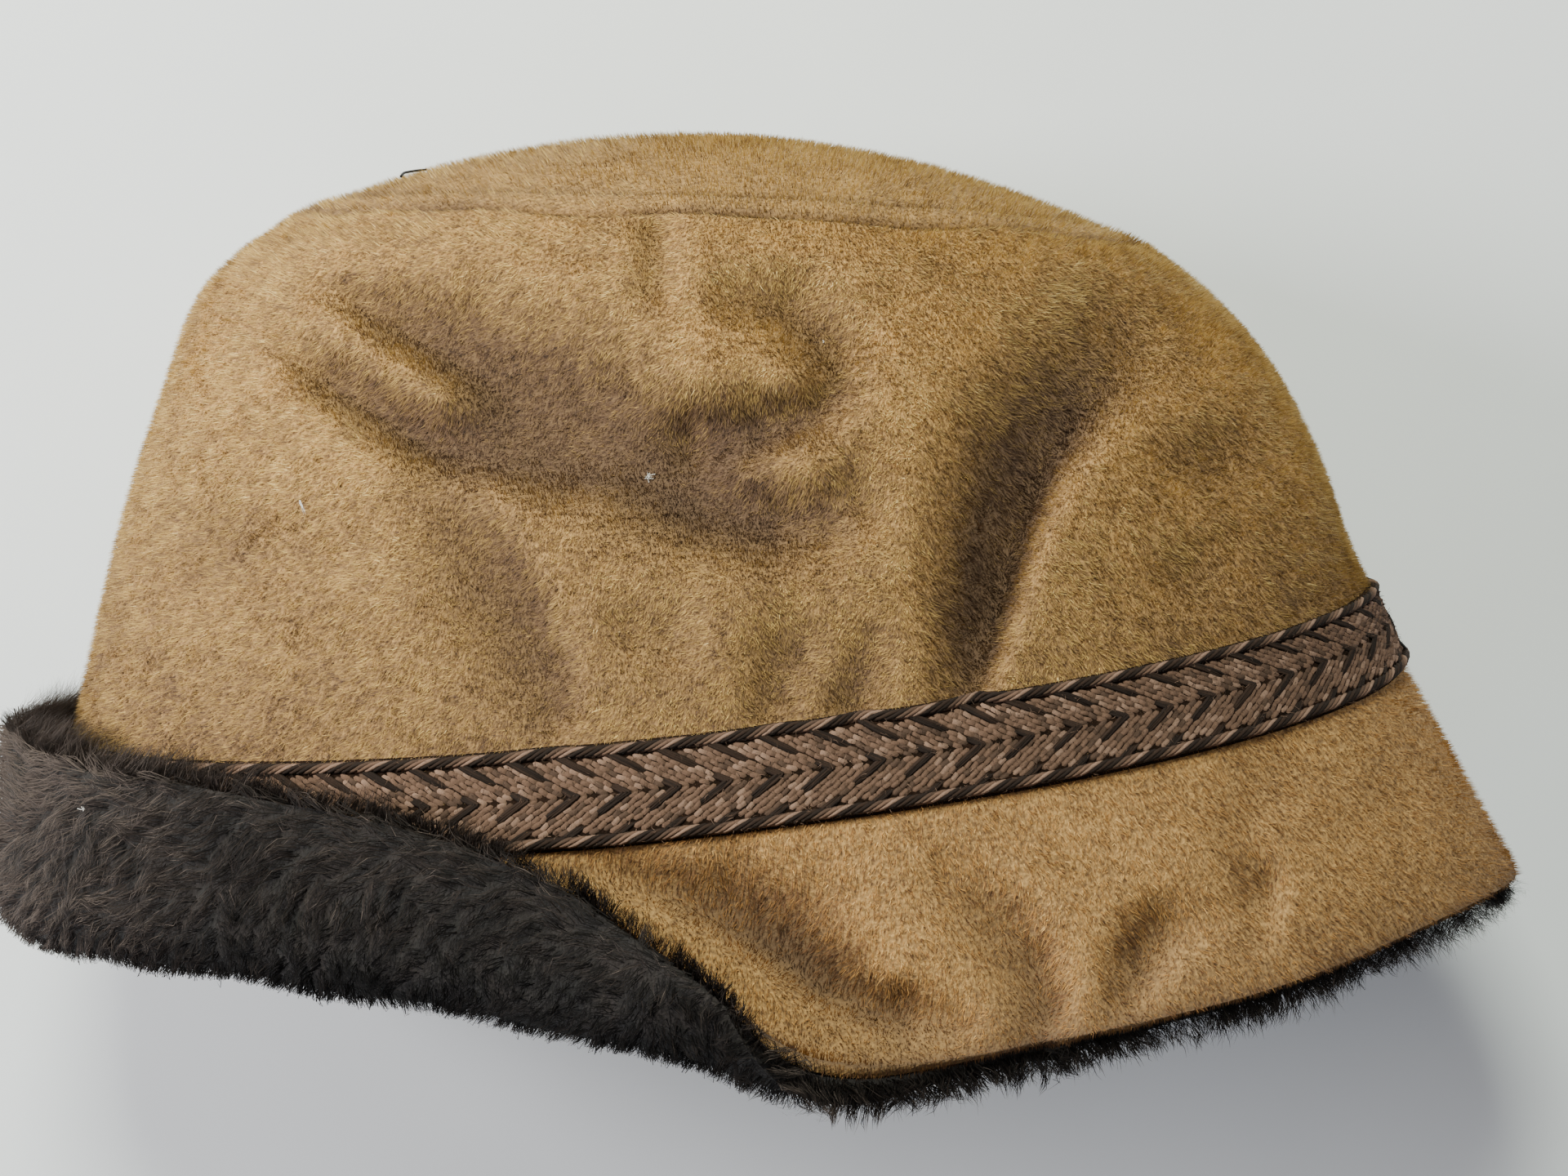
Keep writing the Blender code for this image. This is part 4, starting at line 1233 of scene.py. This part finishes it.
def braid_stitches(ring, materials):
    """The light arms of the braid's herringbone: rows of small plump stitches laid like bricks. One more row
    covers each dark arm where it dips."""
    dice = np.random.default_rng(31)
    pitch = braid_run(ring)[-1] / BRAID_REPEATS
    length = ARM_REACH / math.sin(ARM_SLANT) / STITCHES_ALONG
    width = LIGHT_SHARE * pitch * math.sin(ARM_SLANT) / STITCH_ROWS
    repeat, side, row, stitch = every(
        np.arange(BRAID_REPEATS), (-1, 1), np.arange(STITCH_ROWS + 1), np.arange(STITCHES_ALONG + 1)
    )
    along_arm = (stitch + 0.5 * (row % 2)) * length
    across = along_arm * math.sin(ARM_SLANT)
    kept = (across > 0.25) & (across < ARM_REACH + 0.15)
    kept &= (row < STITCH_ROWS) | (sunk(side, across / ARM_REACH) > 0.5)
    repeat, side, row, stitch, along_arm, across = (
        value[kept] for value in (repeat, side, row, stitch, along_arm, across)
    )
    count = len(repeat)
    start = repeat * pitch + (row + 0.5 + 0.2 * (row == STITCH_ROWS)) / STITCH_ROWS * LIGHT_SHARE * pitch

    # One stitch: a six-sided outline about a short ridge.
    outline = [(-1, 0, 0), (-0.6, -1, 0), (0.6, -1, 0), (1, 0, 0), (0.6, 1, 0), (-0.6, 1, 0)]
    ridge = [(-0.5, 0, 1), (0.5, 0, 1)]
    shape = np.array(outline + ridge)
    faces = np.array([(0, 1, 6), (1, 2, 7), (1, 7, 6), (2, 3, 7), (3, 4, 7), (4, 5, 6), (4, 6, 7), (5, 0, 6)])

    turn = (ARM_SLANT + STITCH_TILT * (-1) ** (row + stitch) + dice.normal(0, 0.05, count))[:, None]
    size = 1 + dice.normal(0, 0.05, count)[:, None]
    a = shape[:, 0] * length * STITCH_LENGTH_SHARE * size
    b = shape[:, 1] * width * STITCH_WIDTH_SHARE * size
    u = start[:, None] + along_arm[:, None] * math.cos(ARM_SLANT) + a * np.cos(turn) - b * np.sin(turn)
    v = side[:, None] * (across[:, None] + a * np.sin(turn) + b * np.cos(turn))
    height = STITCH_FOOT + shape[:, 2] * (STITCH_PLUMPNESS + dice.normal(0, 0.08, count)[:, None])
    places, _ = on_braid(ring, u / pitch, v, height)
    flipped = np.where(side[:, None, None] > 0, faces[:, ::-1], faces)
    triangles = (flipped + np.arange(count)[:, None, None] * len(shape)).reshape(-1, 3)
    tones = np.repeat(pick_tones(dice.normal(0, 0.35, count), len(materials)), len(faces))
    mesh_piece("braid_stitches", places.reshape(-1, 3), triangles, materials, tones)


def braid_dark_arms(ring, materials):
    """The dark arms between the light ones, each of three loose strands."""
    dice = np.random.default_rng(32)
    pitch = braid_run(ring)[-1] / BRAID_REPEATS
    repeat, side, strand = every(np.arange(BRAID_REPEATS), (-1, 1), np.arange(DARK_STRANDS))
    along_arm = np.linspace(0.0, (ARM_REACH + 0.7) / math.sin(ARM_SLANT), DARK_KNOTS)
    share = LIGHT_SHARE + (strand + 0.5) / DARK_STRANDS * (1 - LIGHT_SHARE)
    wave = dice.normal(0, 0.07, (len(repeat), DARK_KNOTS))
    u = ((repeat + share) * pitch)[:, None] + along_arm * math.cos(ARM_SLANT) + wave
    v = side[:, None] * (along_arm * math.sin(ARM_SLANT))
    dip = sunk(side[:, None], along_arm / along_arm[-1])
    height = DARK_HEIGHT - DARK_DIP * dip + dice.normal(0, 0.06, (len(repeat), DARK_KNOTS))
    path, out = on_braid(ring, u / pitch, v, height)
    kinds = dice.integers(0, len(materials), len(repeat))
    yarns("braid_dark_arms", path, out, DARK_RADIUS - 0.1 * dip, kinds, materials)


def braid_cords(ring, materials):
    """The twisted cord along each edge of the braid, of light and dark strands."""
    turns = np.arange(BRAID_REPEATS * CORD_STEPS) / CORD_STEPS
    places, ways = [], []
    for edge in (-1, 1):
        for strand in range(len(CORD_YARNS)):
            angle = (turns + strand / len(CORD_YARNS)) * 2 * math.pi
            across = edge * CORD_PLACE + CORD_RADIUS * np.cos(angle)
            place, out = on_braid(ring, turns, across, CORD_HEIGHT + CORD_RADIUS * np.sin(angle))
            places.append(place)
            ways.append(out)
    path, out = np.array(places), np.array(ways)
    radius = np.full(path.shape[:2], CORD_YARN_RADIUS)
    yarns("braid_cords", path, out, radius, np.array(CORD_YARNS * 2), materials, closed=True)


def braid_fuzz(ring, materials):
    """Loose fibres that stand off the yarns of the braid."""
    dice = np.random.default_rng(33)
    pitch = braid_run(ring)[-1] / BRAID_REPEATS
    along = dice.random(FUZZ_COUNT) * BRAID_REPEATS
    across = (dice.random(FUZZ_COUNT) - 0.5) * (BRAID_WIDTH - 0.6)
    heading = dice.random(FUZZ_COUNT) * 2 * math.pi
    reach = between(FUZZ_REACH, dice.random(FUZZ_COUNT))
    knots = []
    for share, height in ((0, 1.3), (0.5, 1.9), (1, 2.1)):
        onward, upward = share * reach * np.cos(heading) / pitch, share * reach * np.sin(heading)
        place, out = on_braid(ring, along + onward, across + upward, height)
        knots.append(place)
    spine = np.stack(knots, axis=1)
    spine[:, 1:] += dice.normal(0, 0.15, (FUZZ_COUNT, 2, 3))
    side = unit(np.cross(spine[:, 2] - spine[:, 0], out)) * 0.05
    tones = dice.integers(0, len(materials), FUZZ_COUNT)
    strands("braid_fuzz", spine, side, out, tones, materials)


def seat(sheets, x, y):
    """The highest place of some layers under a point seen from above, and the way out there."""
    found = []
    for sheet in sheets:
        away = np.hypot(sheet.points[..., 0] - x, sheet.points[..., 1] - y)
        near = away < max(away.min() + 0.3, 1.2)
        index = np.unravel_index(np.argmax(np.where(near, sheet.points[..., 2], -1.0)), away.shape)
        found.append((away[index] - 0.01 * sheet.points[index][2], sheet.points[index], sheet.out[index]))
    _, place, out = min(found, key=lambda one: one[0])
    return place, out


def loose_threads(sheets):
    """The threads left in the seams, bent over the cloth from knot to knot."""
    black = sewing_thread()
    for name in dict.fromkeys(knot.thread for knot in THREADS):
        knots = np.array([(knot.x, knot.y) for knot in THREADS if knot.thread == name])
        places, out = zip(*(seat(sheets, x, y) for x, y in knots))
        places, out = np.array(places), unit(np.mean(out, axis=0))
        places[:, :2] = knots
        share = np.linspace(0, len(knots) - 1, THREAD_KNOTS)
        path = np.stack([np.interp(share, range(len(knots)), places[:, k]) for k in range(3)], axis=1)
        path = path + out * (0.3 + 0.3 * np.sin(share / share[-1] * math.pi))[:, None]
        facing = np.broadcast_to(out + 0.01, path.shape)
        radius = np.full((1, THREAD_KNOTS), THREAD_RADIUS)
        yarns(name, path[None], facing[None], radius, np.zeros(1, int), [black], sides=6)


def lint(wall, fur):
    """Specks of lint, each a few short hairs."""
    dice = np.random.default_rng(41)
    spines, facings = [], []
    for speck in LINT:
        place, out = seat((wall, fur) if speck.in_fur else (wall,), speck.x, speck.y)
        lift = LINT_LIFT
        if speck.in_fur:
            out, lift = -out, LINT_LIFT_IN_FUR
        shape = (speck.hairs, 3)
        start = place + out * lift + dice.normal(0, speck.spread * 0.5, shape)
        reach = dice.normal(0, speck.spread, shape) + np.array(speck.drawn_out)
        spines.append(np.stack([start - reach, start + dice.normal(0, 0.1, shape), start + reach], axis=1))
        facings.append(np.broadcast_to(out, shape))
    spine, facing = np.concatenate(spines), np.concatenate(facings)
    side = unit(np.cross(spine[:, 2] - spine[:, 0], facing)) * LINT_HALF_WIDTH
    strands("lint", spine, side, facing, np.zeros(len(spine), int), [lint_fluff()])


def camera():
    """The camera, straight above the hat."""
    data = bpy.data.cameras.new("camera")
    data.lens = CAMERA_LENS
    data.sensor_width = CAMERA_SENSOR
    data.clip_start, data.clip_end = 0.05, 10
    seen = bpy.data.objects.new("camera", data)
    seen.location = CAMERA_PLACE
    bpy.context.scene.collection.objects.link(seen)
    bpy.context.scene.camera = seen


def lights():
    """The light of the room and of its lamps, which all point at the hat."""
    world = bpy.data.worlds.new("room")
    bpy.context.scene.world = world
    world.use_nodes = True
    background = world.node_tree.nodes["Background"]
    background.inputs["Color"].default_value = linear(ROOM_COLOUR)
    background.inputs["Strength"].default_value = ROOM_STRENGTH
    for lamp in LAMPS:
        data = bpy.data.lights.new(lamp.name, "AREA")
        data.size = lamp.size
        data.energy = lamp.power
        data.color = linear(lamp.colour)[:3]
        made = bpy.data.objects.new(lamp.name, data)
        made.location = lamp.place
        made.rotation_mode = "QUATERNION"
        made.rotation_quaternion = (Vector(HAT_MIDDLE) - Vector(lamp.place)).to_track_quat("-Z", "Y")
        bpy.context.scene.collection.objects.link(made)


def set_table():
    """The pale table that the hat lies on."""
    corners = [(-1, -1, 0), (1, -1, 0), (1, 1, 0), (-1, 1, 0)]
    mesh = bpy.data.meshes.new("table")
    mesh.from_pydata((np.array(corners) * TABLE_REACH).tolist(), [], [(0, 1, 2, 3)])
    mesh.materials.append(painted_table())
    table = bpy.data.objects.new("table", mesh)
    table.location = (0, 0, -TABLE_DROP)
    bpy.context.scene.collection.objects.link(table)


def main():
    light, dark = taupe_yarns(), espresso_yarns()
    tip, wall, brim, brim_back = sew_cloth()
    ring = lay_braid(light, dark)
    front, skin = line_brim()
    brush_cloth(tip, wall, brim, brim_back)
    fur = brush_fur(front, skin)
    braid_fuzz(ring, light + dark)
    loose_threads((tip, wall, ring))
    lint(wall, fur)
    camera()
    lights()
    set_table()


main()
